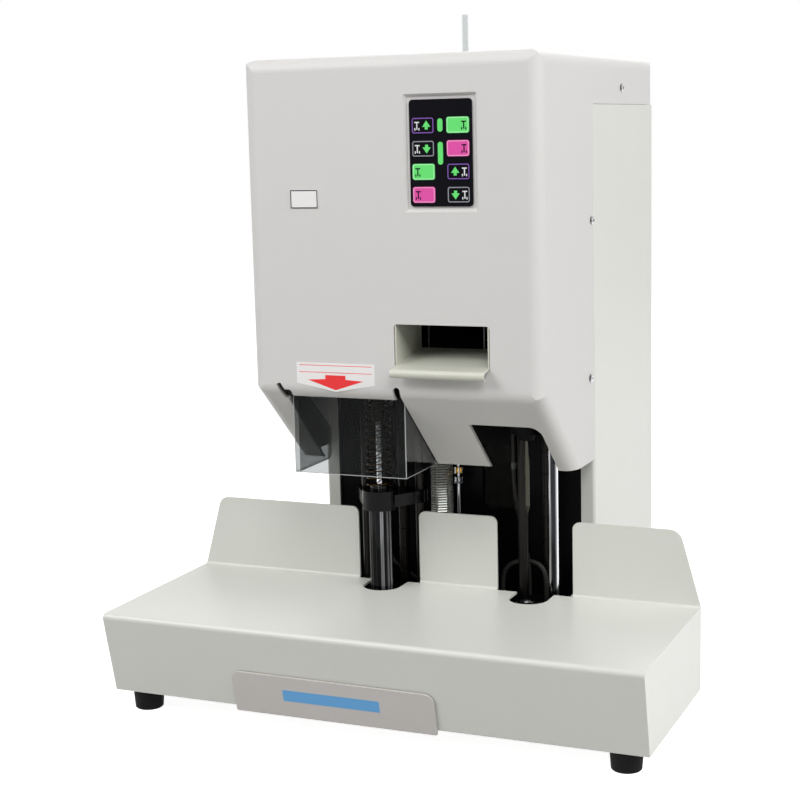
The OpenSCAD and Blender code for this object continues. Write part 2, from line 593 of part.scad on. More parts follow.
// Top plate that ties the guide rods and carries the lift motors.
module top_plate() color(black) place() difference() {
  box([-119, -32, head_z], [119, 118, head_z + top_t]);
  for (x = rod_xs(drill_x)) post(x, rod_y, head_z - 1, head_z + top_t + 1, drill_rod_d + 2 * fit);
  for (x = rod_xs(rivet_x)) post(x, rod_y, head_z - 1, head_z + top_t + 1, rivet_rod_d + 2 * fit);
  for (x = [drill_x, rivet_x]) post(x, screw_y, head_z - 1, head_z + top_t + 1, 8 + 2 * fit);
  post(tube_x, tube_y, head_z - 1, head_z + top_t + 1, 14);
  for (x = [-85, 50]) linear_box([x - 14, 70], [x + 14, 104], head_z - 1, head_z + top_t + 1, 5);
}

// The blackened guide rods: both of the drilling station and the left one of the riveting station.
module guide_rods() color(black) place() {
  for (x = rod_xs(drill_x)) post(x, rod_y, -30, head_z + top_t, drill_rod_d);
  post(rod_xs(rivet_x)[0], rod_y, -30, head_z + top_t, rivet_rod_d);
}

// The bright right guide post of the riveting station.
module rivet_post() color(steel) place() post(rod_xs(rivet_x)[1], rod_y, -30, head_z + top_t, rivet_rod_d);

// Two stepping motors that turn the lead screws.
module lift_motors() color(black) place() for (x = [drill_x, rivet_x])
  translate([x, screw_y, head_z + top_t]) difference() {
    union() {
      linear_box([-20.5, -20.5], [20.5, 20.5], 0, 9, 4);
      linear_box([-19.5, -19.5], [19.5, 19.5], 8, 27, 7);
      linear_box([-20.5, -20.5], [20.5, 20.5], 26, 36, 4);
    }
    translate([0, 0, -1]) cylinder(d = 8.6, h = 14);
  }

// Lead screw with its thread relief grooves and turned ends.
module lead_screw(x) translate([x, screw_y, 0]) {
  half = screw_d / 2;
  rings = floor((head_z - bed_top - 21) / 20);
  rotate_extrude() polygon(concat([[0, -29.5], [4, -29.5], [4, bed_top + 0.4]],
    [for (k = [0 : rings - 1]) let (z = bed_top + 20 * k)
      each [[half, z + (k == 0 ? 0.4 : 0.1)], [half, z + 18], [half - 0.5, z + 18.5], [half - 0.5, z + 20]]],
    [[half, bed_top + 20 * rings + 1], [half, head_z - 0.4], [4, head_z - 0.4], [4, head_z + top_t + 10],
      [0, head_z + top_t + 10]]));
}
module drill_screw() color(steel) place() lead_screw(drill_x);
module rivet_screw() color(steel) place() lead_screw(rivet_x);

// Carriage of the drilling station with its rod bores, a pocketed top and a pusher for the buffer spring.
module drill_carriage() color(black) place() difference() {
  union() {
    linear_box([drill_x - 43.5, -44], [drill_x + 48, 48], carriage_rise, carriage_rise + carriage_t, 8);
    post(buffer_x, buffer_y, buffer_z + 62, carriage_rise + 1, 15);
  }
  post(buffer_x, buffer_y, buffer_z + 60, carriage_rise - 4, 9);
  for (x = rod_xs(drill_x))
    post(x, rod_y, carriage_rise - 1, carriage_rise + carriage_t + 1, drill_rod_d + 2 * fit);
  post(drill_x, screw_y, carriage_rise - 1, carriage_rise + carriage_t + 1, 20 + 2 * fit);
  post(drill_x, -station_reach, carriage_rise - 1, carriage_rise + carriage_t + 1, 22 + 2 * fit);
  linear_box([drill_x - 38, -38], [drill_x - 30, -6], carriage_rise + 8, carriage_rise + carriage_t + 1, 3);
  linear_box([drill_x + 30, -38], [drill_x + 42, -6], carriage_rise + 8, carriage_rise + carriage_t + 1, 3);
}

// Carriage of the riveting station with its rod bores.
module rivet_carriage() color(black) place() difference() {
  union() {
    linear_box([rivet_x - 22, -36], [rivet_x + 22.5, 46], carriage_rise, carriage_rise + carriage_t, 6);
    post(rivet_x, -station_reach, carriage_rise + carriage_t - 1, carriage_rise + carriage_t + 8, 22);
  }
  for (x = rod_xs(rivet_x))
    post(x, rod_y, carriage_rise - 1, carriage_rise + carriage_t + 1, rivet_rod_d + 2 * fit);
  post(rivet_x, screw_y, carriage_rise - 1, carriage_rise + carriage_t + 1, 20 + 2 * fit);
  post(rivet_x, -station_reach, carriage_rise - 1, carriage_rise + carriage_t - 4, 14 + 2 * fit);
}

// Flanged screw nut fixed in a carriage.
module screw_nut(x) translate([x, screw_y, carriage_rise]) difference() {
  union() {
    translate([0, 0, -4]) cylinder(d = 26, h = 4);
    translate([0, 0, -0.5]) cylinder(d = 20, h = carriage_t + 4);
  }
  translate([0, 0, -5]) cylinder(d = screw_d + 2 * fit, h = carriage_t + 10);
}
module drill_nut() color(brass) place() screw_nut(drill_x);
module rivet_nut() color(brass) place() screw_nut(rivet_x);

// Drill motor standing on the carriage, with its cooling ribs and spindle bearing.
module drill_motor() color(zinc) place() translate([drill_x, -station_reach, carriage_rise]) difference() {
  union() {
    cylinder(d = 22, h = carriage_t + 1);
    translate([0, 0, carriage_t]) cylinder(d = 50, h = 6);
    for (k = [0 : 5]) translate([0, 0, carriage_t + 14 + 12 * k]) cylinder(d = 49, h = 6);
    translate([0, 0, carriage_t + 5]) cylinder(d = 45, h = motor_len);
    translate([0, 0, carriage_t + motor_len]) cylinder(d = 49, h = 12);
  }
  translate([0, 0, -1]) cylinder(d = 10 + 2 * fit, h = carriage_t + 40);
}

// Spindle and chuck turned by the drill motor.
module drill_chuck() color(steel) place() translate([drill_x, -station_reach, carriage_rise]) difference() {
  rotate_extrude() polygon([[0, -38.2], [4.6, -38.2], [6, -35], [6, -8], [8.5, -7], [8.5, -0.6], [5, -0.6],
    [5, carriage_t + 30], [0, carriage_t + 30]]);
  translate([0, 0, -39]) cylinder(d = drill_d + 2 * fit, h = 26);
}

// Hollow drill held in the chuck.
module hollow_drill() color(steel) place() translate([drill_x, -station_reach, 0]) difference() {
  rotate_extrude() polygon([[0, pad_top + 0.5], [drill_d / 2 - 0.5, pad_top + 0.5], [drill_d / 2, pad_top + 2],
    [drill_d / 2, carriage_rise - 16], [0, carriage_rise - 16]]);
  translate([0, 0, pad_top - 1]) cylinder(d = drill_d - 1.2, h = 60);
}

// Press foot: a guided plate with a collar, a spring seat and the long sleeve that holds the paper down.
module press_foot() color(black) place() difference() {
  union() {
    post(drill_x, -station_reach, pad_top + 0.3, 76, sleeve_d);
    post(drill_x, -station_reach, 71.7, 89.2, 32);
    post(drill_x, -station_reach, 89, 93.2, 17);
    hull() {
      post(drill_x, -station_reach, 74, 85, 30);
      for (x = rod_xs(drill_x)) post(x, rod_y, 74, 85, 15);
    }
  }
  for (x = rod_xs(drill_x)) post(x, rod_y, 70, 90, drill_rod_d + 2 * fit);
  post(drill_x, -station_reach, pad_top - 1, 95, 10);
}

// Replaceable cutting pad under the drill and the cup that holds it.
module drill_pad() color([0.8, 0.8, 0.75]) place() post(drill_x, -station_reach, pad_top - 5, pad_top, 24);
module pad_seat() color(zinc) place() difference() {
  post(drill_x, -station_reach, bed_top, bed_top + 6, 42);
  post(drill_x, -station_reach, bed_top + 3, bed_top + 7, 24 + 2 * fit);
}

// Points of a coil's centre line: r to the wire's centre, n curls of the given pitch from z0 up.
function coil(r, pitch, n, z0) = [for (i = [0 : 8 * n]) [r * cos(i * 45), r * sin(i * 45), z0 + pitch * i / 8]];

// Unit tangent of the coil at an angle.
function run(r, pitch, a) = unit([-r * sin(a), r * cos(a), pitch / 360 * 180 / PI]);

// Swept round wire along a coil, with straight ends one wire diameter long.
module wire_coil(r, w, pitch, n, z0) {
  mid = coil(r, pitch, n, z0);
  m = len(mid);
  first = mid[0] - w * run(r, pitch, 0);
  last = mid[m - 1] + w * run(r, pitch, 0);
  line = concat([first], mid, [last]);
  turns = concat([0], [for (i = [0 : m - 1]) i * 45], [(m - 1) * 45]);
  ring = [for (k = [0 : m + 1]) each let (a = turns[k], u = [cos(a), sin(a), 0], v = cross(run(r, pitch, a), u))
    [for (j = [0 : 5]) line[k] + w / 2 * (cos(j * 60) * u + sin(j * 60) * v)]];
  skin = [for (k = [0 : m], j = [0 : 5]) let (a = 6 * k + j, b = 6 * k + (j + 1) % 6)
    each [[a, b, b + 6], [a, b + 6, a + 6]]];
  polyhedron(ring, concat(skin, [[5, 4, 3, 2, 1, 0]], [[for (j = [0 : 5]) 6 * (m + 1) + j]]), convexity = 8);
  echo(least_self_gap = min([for (i = [0 : m - 9]) norm(mid[i + 8] - mid[i])]) - w);
}

// Spring between the press foot and the drill carriage.
module foot_spring() color(brass) place() translate([drill_x, -station_reach, 0])
  wire_coil((foot_spring_d - foot_wire_d) / 2, foot_wire_d,
    (carriage_rise - 89.2 - foot_wire_d - 0.8) / foot_curls, foot_curls, 89.2 + foot_wire_d / 2 + 0.4);

// Close-wound buffer spring behind the middle of the fence.
module buffer_spring() color(steel) place() translate([buffer_x, buffer_y, 0])
  wire_coil((buffer_spring_d - buffer_wire_d) / 2, buffer_wire_d, 57 / buffer_curls, buffer_curls, buffer_z + 1.4);

// Rod inside the buffer spring with a collar below and a washer above it.
module spring_rod() color(steel) place() translate([buffer_x, buffer_y, 0]) {
  rotate_extrude() polygon([[0, -27], [4, -27], [4, bed_top + 0.02], [12, bed_top + 0.02], [12, buffer_z],
    [4, buffer_z], [4, 118], [0, 118]]);
  translate([0, 0, buffer_z + 59.4]) difference() {
    cylinder(d = 24, h = 2);
    translate([0, 0, -1]) cylinder(d = 8 + 2 * fit, h = 4);
  }
}

// Thin threaded stop stud with its washer and nuts.
module stop_stud() color(steel) place() translate([buffer_x + 16.5, buffer_y, 0]) difference() {
  union() {
    rotate_extrude() polygon([[0, -27], [2, -27], [2, bed_top + 4], [1.6, bed_top + 4.4], [1.6, 122], [1, 123],
      [0, 123]]);
    translate([0, 0, 86]) cylinder(d = 9, h = 1.4);
    translate([0, 0, 87.2]) cylinder(d = 8, h = 4.5, $fn = 6);
    translate([0, 0, 95]) cylinder(d = 8.6, h = 6, $fn = 6);
  }
  translate([0, 0, 120]) box([-0.4, -3, 0], [0.4, 3, 4]);
}

// Upper heater with its fins and nose, and the needle through it.
module upper_heater() color(black) place() translate([rivet_x, -station_reach, 0]) difference() {
  union() {
    translate([0, 0, carriage_rise - 42]) cylinder(d = 26, h = 42);
    for (k = [0 : 4]) translate([0, 0, carriage_rise - 38 + 8 * k]) cylinder(d = 30, h = 4);
    translate([0, 0, carriage_rise - 48]) cylinder(d1 = 12, d2 = 18, h = 6.5);
    translate([0, 0, carriage_rise - 1]) cylinder(d = 14, h = carriage_t - 4);
  }
  translate([0, 0, carriage_rise - 50]) cylinder(d = needle_d + 2 * fit, h = 74);
}
module rivet_needle() color(steel) place() translate([rivet_x, -station_reach, 0])
  rotate_extrude() polygon([[0, needle_rise], [0.4, needle_rise], [needle_d / 2, needle_rise + 7],
    [needle_d / 2, carriage_rise + 20], [0, carriage_rise + 20]]);

// Lower die ring with the deep bore that takes the needle, and its heater band.
module lower_die() color(steel) place() translate([rivet_x, -station_reach, 0]) rotate_extrude() polygon([
  [needle_d / 2 + 1, -34], [8, -34], [8, bed_top], [12, bed_top], [12, -6], [11, -5], [11, -3.4], [10, -3],
  [needle_d / 2 + 2.4, -3], [needle_d / 2 + 1, -4.4]]);
module die_heater() color(black) place() translate([rivet_x, -station_reach, 0]) {
  difference() {
    translate([0, 0, bed_top]) cylinder(d = 31, h = 8);
    translate([0, 0, bed_top - 1]) cylinder(r = 12 + fit, h = 10);
  }
  for (x = [-8, 8]) translate([x, 14, bed_top]) difference() {
    cylinder(d = 6, h = 11);
    translate([0, 0, 9]) box([-0.5, -4, 0], [0.5, 4, 3]);
  }
}

// Clear tube stock that stands out of the cap and its top guide.
module feed_tube() color([0.9, 0.93, 0.93, 0.5]) place() difference() {
  post(tube_x, tube_y, cutter_z + 4, cap_top + tube_stand, tube_d);
  post(tube_x, tube_y, cutter_z + 3, cap_top + tube_stand + 1, tube_d - 1.6);
}
module tube_guide() color([0.9, 0.9, 0.88]) place() difference() {
  union() {
    post(tube_x, tube_y, cap_top - wall - 9, cap_top, 11.4);
    post(tube_x, tube_y, cap_top - wall - 3, cap_top - wall - seam / 2, 18);
    post(tube_x, tube_y, cap_top, cap_top + 1, 14);
  }
  post(tube_x, tube_y, cap_top - 30, cap_top + 5, tube_d + 2 * fit);
}

// Cutter housing on the back plate: the tube's bore, the blade's slot, a guide shoe and the blade's solenoid.
module cutter_housing() color(zinc) place() difference() {
  union() {
    linear_box([tube_x - 16, tube_y - 16], [tube_x + 16, back_y], cutter_z - 30, cutter_z, 3);
    box([tube_x - 22, back_y - 4, cutter_z - 38], [tube_x + 22, back_y, cutter_z + 46]);
    box([tube_x + tube_d / 2 + seam, tube_y - 7, cutter_z - 1], [tube_x + 12, back_y, cutter_z + 38]);
    box([tube_x - 43, tube_y - 7.6, cutter_z - 16], [tube_x - 31, back_y, cutter_z + 1.6]);
  }
  post(tube_x, tube_y, cutter_z - 34, cutter_z + 4, tube_d + 2.4);
  box([tube_x - 17, tube_y - 7, blade_z - 0.8], [tube_x + 6, tube_y + 7, blade_z + 0.8]);
  translate([tube_x - 44, tube_y, blade_z]) rotate([0, 90, 0]) cylinder(r = 2 + fit, h = 14);
  translate([tube_x - 11, back_y - 5, motor_z]) rotate([-90, 0, 0]) cylinder(d = 18, h = 6);
}

// Blade that cuts the tube to length, with the solenoid's plunger behind it.
module cutter_blade() color(steel) place() translate([tube_x, tube_y, blade_z]) {
  translate([0, 0, -0.5]) linear_extrude(1) polygon([[-30, -6.5], [-11, -6.5], [-5, 6.5], [-30, 6.5]]);
  translate([-42, 0, 0]) rotate([0, 90, 0]) cylinder(r = 2, h = 13);
}

// Feed motor behind the back plate with its bearing nose.
module feed_motor() color(black) place() translate([tube_x - 11, 0, motor_z]) difference() {
  union() {
    translate([0, back_y + back_t, 0]) rotate([-90, 0, 0]) cylinder(d = 34, h = 46);
    translate([0, back_y - 6, 0]) rotate([-90, 0, 0]) cylinder(d = 12, h = back_t + 7);
  }
  translate([0, back_y - 7, 0]) rotate([-90, 0, 0]) cylinder(r = 2 + fit, h = back_t + 20);
}

// Knurled roller on the feed motor's shaft, running against the tube.
module feed_roller() color(rubber) place() translate([tube_x - 11, 0, motor_z]) {
  translate([0, tube_y - 7, 0]) rotate([-90, 0, 0]) cylinder(r = 2, h = back_y + back_t + 12 - tube_y + 7);
  translate([0, tube_y - 7, 0]) rotate([-90, 0, 0]) cylinder(r = 11 - tube_d / 2 - fit, h = 14);
}

// Control board on spacers behind the back plate, and the transformer on the bed.
module control_board() color([0.05, 0.3, 0.16]) place() translate([0, back_y + back_t, board_z]) {
  box([-100, 6, 0], [-4, 7.6, 140]);
  for (x = [-96, -8], z = [4, 136]) translate([x, 0, z]) rotate([-90, 0, 0]) cylinder(d = 6, h = 7);
  for (z = [14 : 22 : 114]) box([-90, 7, z], [-60, 19, z + 12]);
  for (x = [-44, -24], z = [24, 104]) translate([x, 7, z]) rotate([-90, 0, 0]) cylinder(d = 12, h = 20);
}
module transformer() color(steel) place() {
  linear_box([-104, back_y + back_t + 2], [-36, 112], bed_top, bed_top + 6, 2);
  box([-100, back_y + back_t + 8, bed_top + 5], [-40, 106, bed_top + 60]);
  linear_box([-92, back_y + back_t + 2], [-48, 112], bed_top + 14, bed_top + 50, 6);
}

base_table();
base_plate();
rubber_feet();
foot_screws();
drawer_runners();
drawer_tray();
drawer_front();
column_shell();
rear_panel();
power_inlet();
power_rocker();
front_cover();
case_screws();
panel_film();
panel_lamps();
clear_guard();
guard_pins();
tube_chute();
frame_bed();
back_plate();
top_plate();
guide_rods();
rivet_post();
lift_motors();
drill_screw();
rivet_screw();
drill_carriage();
drill_nut();
drill_motor();
drill_chuck();
hollow_drill();
press_foot();
foot_spring();
pad_seat();
drill_pad();
buffer_spring();
spring_rod();
stop_stud();
rivet_carriage();
rivet_nut();
upper_heater();
rivet_needle();
lower_die();
die_heater();
feed_tube();
tube_guide();
cutter_housing();
feed_motor();
feed_roller();
cutter_blade();
control_board();
transformer();
key_drill_up();
key_drill_down();
key_drill_auto();
key_drill_reset();
key_rivet_press();
key_rivet_reset();
key_rivet_up();
key_rivet_down();
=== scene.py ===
import math

import bmesh
import bpy
from bpy.props import FloatProperty, FloatVectorProperty, PointerProperty
from mathutils import Matrix, Vector


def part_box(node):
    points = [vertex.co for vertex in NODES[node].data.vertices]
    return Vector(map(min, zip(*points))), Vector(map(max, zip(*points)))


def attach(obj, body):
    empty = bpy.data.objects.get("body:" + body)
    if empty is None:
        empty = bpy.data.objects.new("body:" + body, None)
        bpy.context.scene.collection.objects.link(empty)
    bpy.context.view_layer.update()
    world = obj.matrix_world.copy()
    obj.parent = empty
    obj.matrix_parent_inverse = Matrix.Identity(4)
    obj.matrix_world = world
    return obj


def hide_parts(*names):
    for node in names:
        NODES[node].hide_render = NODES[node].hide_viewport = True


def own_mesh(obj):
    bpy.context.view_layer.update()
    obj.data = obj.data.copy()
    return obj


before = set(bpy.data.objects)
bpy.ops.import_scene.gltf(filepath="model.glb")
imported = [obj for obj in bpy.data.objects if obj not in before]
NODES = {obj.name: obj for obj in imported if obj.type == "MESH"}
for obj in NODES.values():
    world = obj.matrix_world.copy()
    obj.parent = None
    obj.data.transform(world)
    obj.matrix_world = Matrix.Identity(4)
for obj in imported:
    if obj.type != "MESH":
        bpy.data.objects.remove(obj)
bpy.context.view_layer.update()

bl_info = {
    "name": "Document riveting machine dressing",
    "version": (1, 0, 0),
    "blender": (4, 5, 0),
    "location": "View3D > Sidebar > Riveter",
    "description": "Adds finishes, printed marks, wiring and fasteners to the machine",
    "category": "Object",
}

MM = 0.001


# ---------------------------------------------------------------- places, as in the part's source

# Height of the base's underside on its feet, and height of the table above it.
SILL = 0.018
TABLE_HEIGHT = 0.0728
# Depth of the table in front of the fence, what the rounded bend takes off its edge,
# depth of the column behind the fence, and what stands out of its rear.
TABLE_DEPTH = 0.1824
BEND_TRIM = 0.001024
COLUMN_REACH = 0.2463
REAR_PROUD = 0.0026
# The source measures from the foot of the fence, at table height.
FENCE_Y = (TABLE_DEPTH - BEND_TRIM - COLUMN_REACH - REAR_PROUD) / 2
FENCE = Vector((0, FENCE_Y, SILL + TABLE_HEIGHT))
TABLE_EDGE_Y = -TABLE_DEPTH + FENCE_Y
# How far the base's front draws back towards its foot, and how far the drawer's face stands out of it.
FRONT_SETBACK = 0.0167
FRONT_LEAN = math.atan(FRONT_SETBACK / TABLE_HEIGHT)
DRAWER_PROUD = 0.0025
DRAWER_FOOT_Y = TABLE_EDGE_Y + FRONT_SETBACK - DRAWER_PROUD / math.cos(FRONT_LEAN)
# Axis of the drilling station, in millimetres from the foot of the fence.
DRILL_X, DRILL_Y = -46.5, -20.4


def at(x, y, z):
    """A place given in millimetres from the foot of the fence, as in the source."""
    return Vector((x, y, z)) * MM + FENCE


def above_base(points):
    """Points (x, z) in metres, from millimetres whose height counts from the base's underside."""
    return [(x * MM, SILL + z * MM) for x, z in points]


# ---------------------------------------------------------------- colours and sizes

def srgb(text):
    """Linear colour of an sRGB hex text."""
    parts = [int(text[i:i + 2], 16) / 255 for i in (1, 3, 5)]
    linear = [c / 12.92 if c <= 0.04045 else ((c + 0.055) / 1.055) ** 2.4 for c in parts]
    return (*linear, 1.0)


def paint(name, text):
    """A colour property with its default."""
    return FloatVectorProperty(name=name, description=f"Base colour: {name.lower()}", subtype="COLOR",
                               size=4, min=0, max=1, default=srgb(text))


def length(name, text, default_mm, low, high):
    """A length property with its default and limits in millimetres."""
    return FloatProperty(name=name, description=text, default=default_mm * MM, min=low * MM, max=high * MM,
                         subtype="DISTANCE", unit="LENGTH")


class RIVETER_PG_colours(bpy.types.PropertyGroup):
    powder: paint("Powder coat", "#D4D5CE")
    casing: paint("Moulded casing", "#D3D1CF")
    drawer: paint("Drawer front", "#C5C1BD")
    chute: paint("Chute", "#CACBBE")
    black: paint("Blackened steel", "#070708")
    panel: paint("Panel film", "#08080F")
    green: paint("Key green", "#63E070")
    pink: paint("Key pink", "#E04BA4")
    violet: paint("Key outline", "#7A4FA8")
    strip: paint("Drawer strip", "#5BA3DB")
    arrow: paint("Arrow", "#E8262A")


class RIVETER_PG_sizes(bpy.types.PropertyGroup):
    mark_t: length("Print thickness", "How far a printed mark stands proud", 0.12, 0.05, 0.4)
    outline_w: length("Outline width", "Width of the line round a key", 0.8, 0.3, 1.5)
    wire_d: length("Cable diameter", "Outer diameter of one cable", 4.4, 2, 6)


# ---------------------------------------------------------------- materials

# The Mix node's sockets in its colour form, by number, because its other forms use the same names.
MIX_SHARE, MIX_UNDER, MIX_OVER, MIX_OUT = 0, 6, 7, 2
# Size of the broad mottling that every finish has.
MOTTLE_MM = 40
# How much denser the grain lies along X, Y and Z: in rings round an upright bar, or drawn out along it.
TURNED, DRAWN = (1, 1, 12), (1, 1, 0.05)


def add_node(tree, kind, inputs=None, **settings):
    """Adds a shader node with its settings. Each input gets a link where a socket is given, or else a value."""
    made = tree.nodes.new(kind)
    for key, value in settings.items():
        setattr(made, key, value)
    for key, value in (inputs or {}).items():
        if isinstance(value, bpy.types.NodeSocket):
            tree.links.new(value, made.inputs[key])
        else:
            made.inputs[key].default_value = value
    return made


def blank_material(name):
    """A new material without nodes, and its tree."""
    made = bpy.data.materials.new(name)
    made.use_nodes = True
    made.node_tree.nodes.clear()
    return made, made.node_tree


def object_coords(tree):
    """Places on the piece, in metres."""
    return add_node(tree, "ShaderNodeTexCoord").outputs["Object"]


def grain(tree, coords, size_mm, detail=2.0, rough=0.5, density=(1, 1, 1)):
    """Noise whose grain has the given size in millimetres."""
    scaled = add_node(tree, "ShaderNodeMapping", {"Vector": coords, "Scale": density})
    return add_node(tree, "ShaderNodeTexNoise", {
        "Vector": scaled.outputs["Vector"], "Scale": 1 / (size_mm * MM), "Detail": detail,
        "Roughness": rough}).outputs["Fac"]


def finish(name, colour, rough, spread=0.06, metal=0.0, grain_mm=1.0, bump_mm=0.01, mottle=0.03,
           density=(1, 1, 1), gloss=0.5, painted_rim_reflection=None):
    """Procedural material: mottled colour, varied roughness and a fine bump, all sized in millimetres.
    A painted rim reflection is a brighter base colour mixed in towards grazing angles, standing in for the
    reflection that polished metal shows there."""
    made, tree = blank_material(name)
    coords = object_coords(tree)
    tint = add_node(tree, "ShaderNodeMapRange", {
        "Value": grain(tree, coords, MOTTLE_MM, 3.0), "To Min": 1 - mottle, "To Max": 1 + mottle})
    mixed = add_node(tree, "ShaderNodeVectorMath", {0: colour[:3], "Scale": tint.outputs["Result"]},
                     operation="SCALE")
    base = mixed.outputs["Vector"]
    if painted_rim_reflection:
        facing = add_node(tree, "ShaderNodeLayerWeight", {"Blend": 0.5})
        share = add_node(tree, "ShaderNodeMapRange", {
            "Value": facing.outputs["Facing"], "From Min": 0.08, "From Max": 0.45})
        base = add_node(tree, "ShaderNodeMix", {
            MIX_SHARE: share.outputs["Result"], MIX_UNDER: base, MIX_OVER: painted_rim_reflection}, data_type="RGBA").outputs[MIX_OUT]
    fine = grain(tree, coords, grain_mm, 2.0, 0.55, density)
    varied = add_node(tree, "ShaderNodeMapRange", {
        "Value": fine, "To Min": max(rough - spread, 0.02), "To Max": min(rough + spread, 1)})
    relief = add_node(tree, "ShaderNodeBump", {"Strength": 0.6, "Distance": bump_mm * MM, "Height": fine})
    shader = add_node(tree, "ShaderNodeBsdfPrincipled", {
        "Base Color": base, "Metallic": metal, "Roughness": varied.outputs["Result"],
        "Normal": relief.outputs["Normal"], "Specular IOR Level": gloss})
    add_node(tree, "ShaderNodeOutputMaterial", {"Surface": shader.outputs["BSDF"]})
    return made


def printed(name, colour, rough=0.4, grain_mm=0.4):
    """Printing ink or film: even and half dull, with a grain too fine to see but for its gloss."""
    return finish(name, colour, rough, 0.05, grain_mm=grain_mm, bump_mm=0.004)


def overlay(material, share, colour, metal=False):
    """Shows another colour on a material where the share is one, made metallic there if asked."""
    tree = material.node_tree
    shader = next(node for node in tree.nodes if node.type == "BSDF_PRINCIPLED")
    under = shader.inputs["Base Color"].links[0].from_socket
    mixed = add_node(tree, "ShaderNodeMix", {MIX_SHARE: share, MIX_UNDER: under, MIX_OVER: colour},
                     data_type="RGBA")
    tree.links.new(mixed.outputs[MIX_OUT], shader.inputs["Base Color"])
    if metal:
        tree.links.new(share, shader.inputs["Metallic"])
    return material


def painted_shade_behind(material, y):
    """Paints shade: blackens the part of a piece that lies behind a depth, where the inside of the machine is in
    shade.
    """
    tree = material.node_tree
    split = add_node(tree, "ShaderNodeSeparateXYZ", {0: object_coords(tree)})
    behind = add_node(tree, "ShaderNodeMath", {0: split.outputs["Y"], 1: y}, operation="GREATER_THAN")
    return overlay(material, behind.outputs[0], srgb("#0A0A0A"))


def painted_highlight_streaks(material, axis, radius):
    """Paints highlights: bright upright streaks on a blackened sleeve, round its axis and within its radius."""
    tree = material.node_tree
    away = add_node(tree, "ShaderNodeVectorMath", {0: object_coords(tree), 1: axis}, operation="SUBTRACT")
    level = add_node(tree, "ShaderNodeVectorMath", {0: away.outputs[0], 1: (1, 1, 0)}, operation="MULTIPLY")
    reach = add_node(tree, "ShaderNodeVectorMath", {0: level.outputs[0]}, operation="LENGTH")
    on_sleeve = add_node(tree, "ShaderNodeMath", {0: reach.outputs["Value"], 1: radius}, operation="LESS_THAN")
    streak = add_node(tree, "ShaderNodeMapRange", {
        "Value": grain(tree, level.outputs[0], 3.4, 1.0), "From Min": 0.56, "From Max": 0.66, "To Max": 0.8})
    share = add_node(tree, "ShaderNodeMath", {0: on_sleeve.outputs[0], 1: streak.outputs["Result"]},
                     operation="MULTIPLY")
    # Painted highlight colour of the streaks, made metallic.
    return overlay(material, share.outputs[0], srgb("#9A9B9E"), metal=True)


def clear_plastic(name, tint, face_on, grazing):
    """Clear sheet or tube that lets light through without bending it and shines more at grazing angles."""
    made, tree = blank_material(name)
    wave = grain(tree, object_coords(tree), 60, 1.0)
    shine = add_node(tree, "ShaderNodeMapRange", {"Value": wave, "To Min": 0.03, "To Max": 0.08})
    relief = add_node(tree, "ShaderNodeBump", {"Strength": 0.15, "Distance": 0.02 * MM, "Height": wave})
    shell = add_node(tree, "ShaderNodeBsdfGlossy", {
        "Color": (0.75, 0.77, 0.78, 1), "Roughness": shine.outputs["Result"], "Normal": relief.outputs["Normal"]})
    through = add_node(tree, "ShaderNodeBsdfTransparent", {"Color": tint})
    edge = add_node(tree, "ShaderNodeLayerWeight", {"Blend": 0.5})
    amount = add_node(tree, "ShaderNodeMapRange", {
        "Value": edge.outputs["Facing"], "From Min": 0.2, "To Min": face_on, "To Max": grazing})
    mixed = add_node(tree, "ShaderNodeMixShader", {
        "Fac": amount.outputs["Result"], 1: through.outputs["BSDF"], 2: shell.outputs["BSDF"]})
    add_node(tree, "ShaderNodeOutputMaterial", {"Surface": mixed.outputs["Shader"]})
    return made


def dress(material, *names):
    """Gives CAD nodes or new pieces one material."""
    for name in names:
        data = (NODES.get(name) or bpy.data.objects[name]).data
        data.materials.clear()
        data.materials.append(material)


# ---------------------------------------------------------------- modelling helpers

# Radius at which the disc of a flat piece is added, before its corners move to their places.
DISC_RADIUS = 0.01
# A flat piece's front and back have more corners than this, and its sides have as many.
SIDE_CORNERS = 4


def deselect():
    """Leaves edit mode with nothing selected."""
    if bpy.context.object and bpy.context.object.mode != "OBJECT":
        bpy.ops.object.mode_set(mode="OBJECT")
    bpy.ops.object.select_all(action="DESELECT")


def pick(*pieces):
    """Selects these pieces alone and makes the first one active."""
    deselect()
    for piece in pieces:
        piece.select_set(True)
    bpy.context.view_layer.objects.active = pieces[0]


def named(piece, name):
    """Names a piece and its data."""
    piece.name = name
    piece.data.name = name
    return piece


def settle(piece):
    """Puts the piece's origin at the frame's origin, unturned and unscaled."""
    pick(piece)
    bpy.ops.object.transform_apply(location=True, rotation=True, scale=True)
    return piece


def edit(piece):
    """Enters edit mode with nothing selected and returns the edit mesh."""
    pick(piece)
    bpy.ops.object.mode_set(mode="EDIT")
    bpy.ops.mesh.select_all(action="DESELECT")
    return bmesh.from_edit_mesh(piece.data)


def close(piece, angle=35):
    """Leaves edit mode with outward faces and smooth shading below the angle."""
    bpy.ops.mesh.select_all(action="SELECT")
    bpy.ops.mesh.normals_make_consistent(inside=False)
    bpy.ops.object.mode_set(mode="OBJECT")
    bpy.ops.object.shade_smooth_by_angle(angle=math.radians(angle))
    return piece


def join(name, parts):
    """Joins pieces into the first one and names it."""
    pick(*parts)
    bpy.ops.object.join()
    return named(parts[0], name)


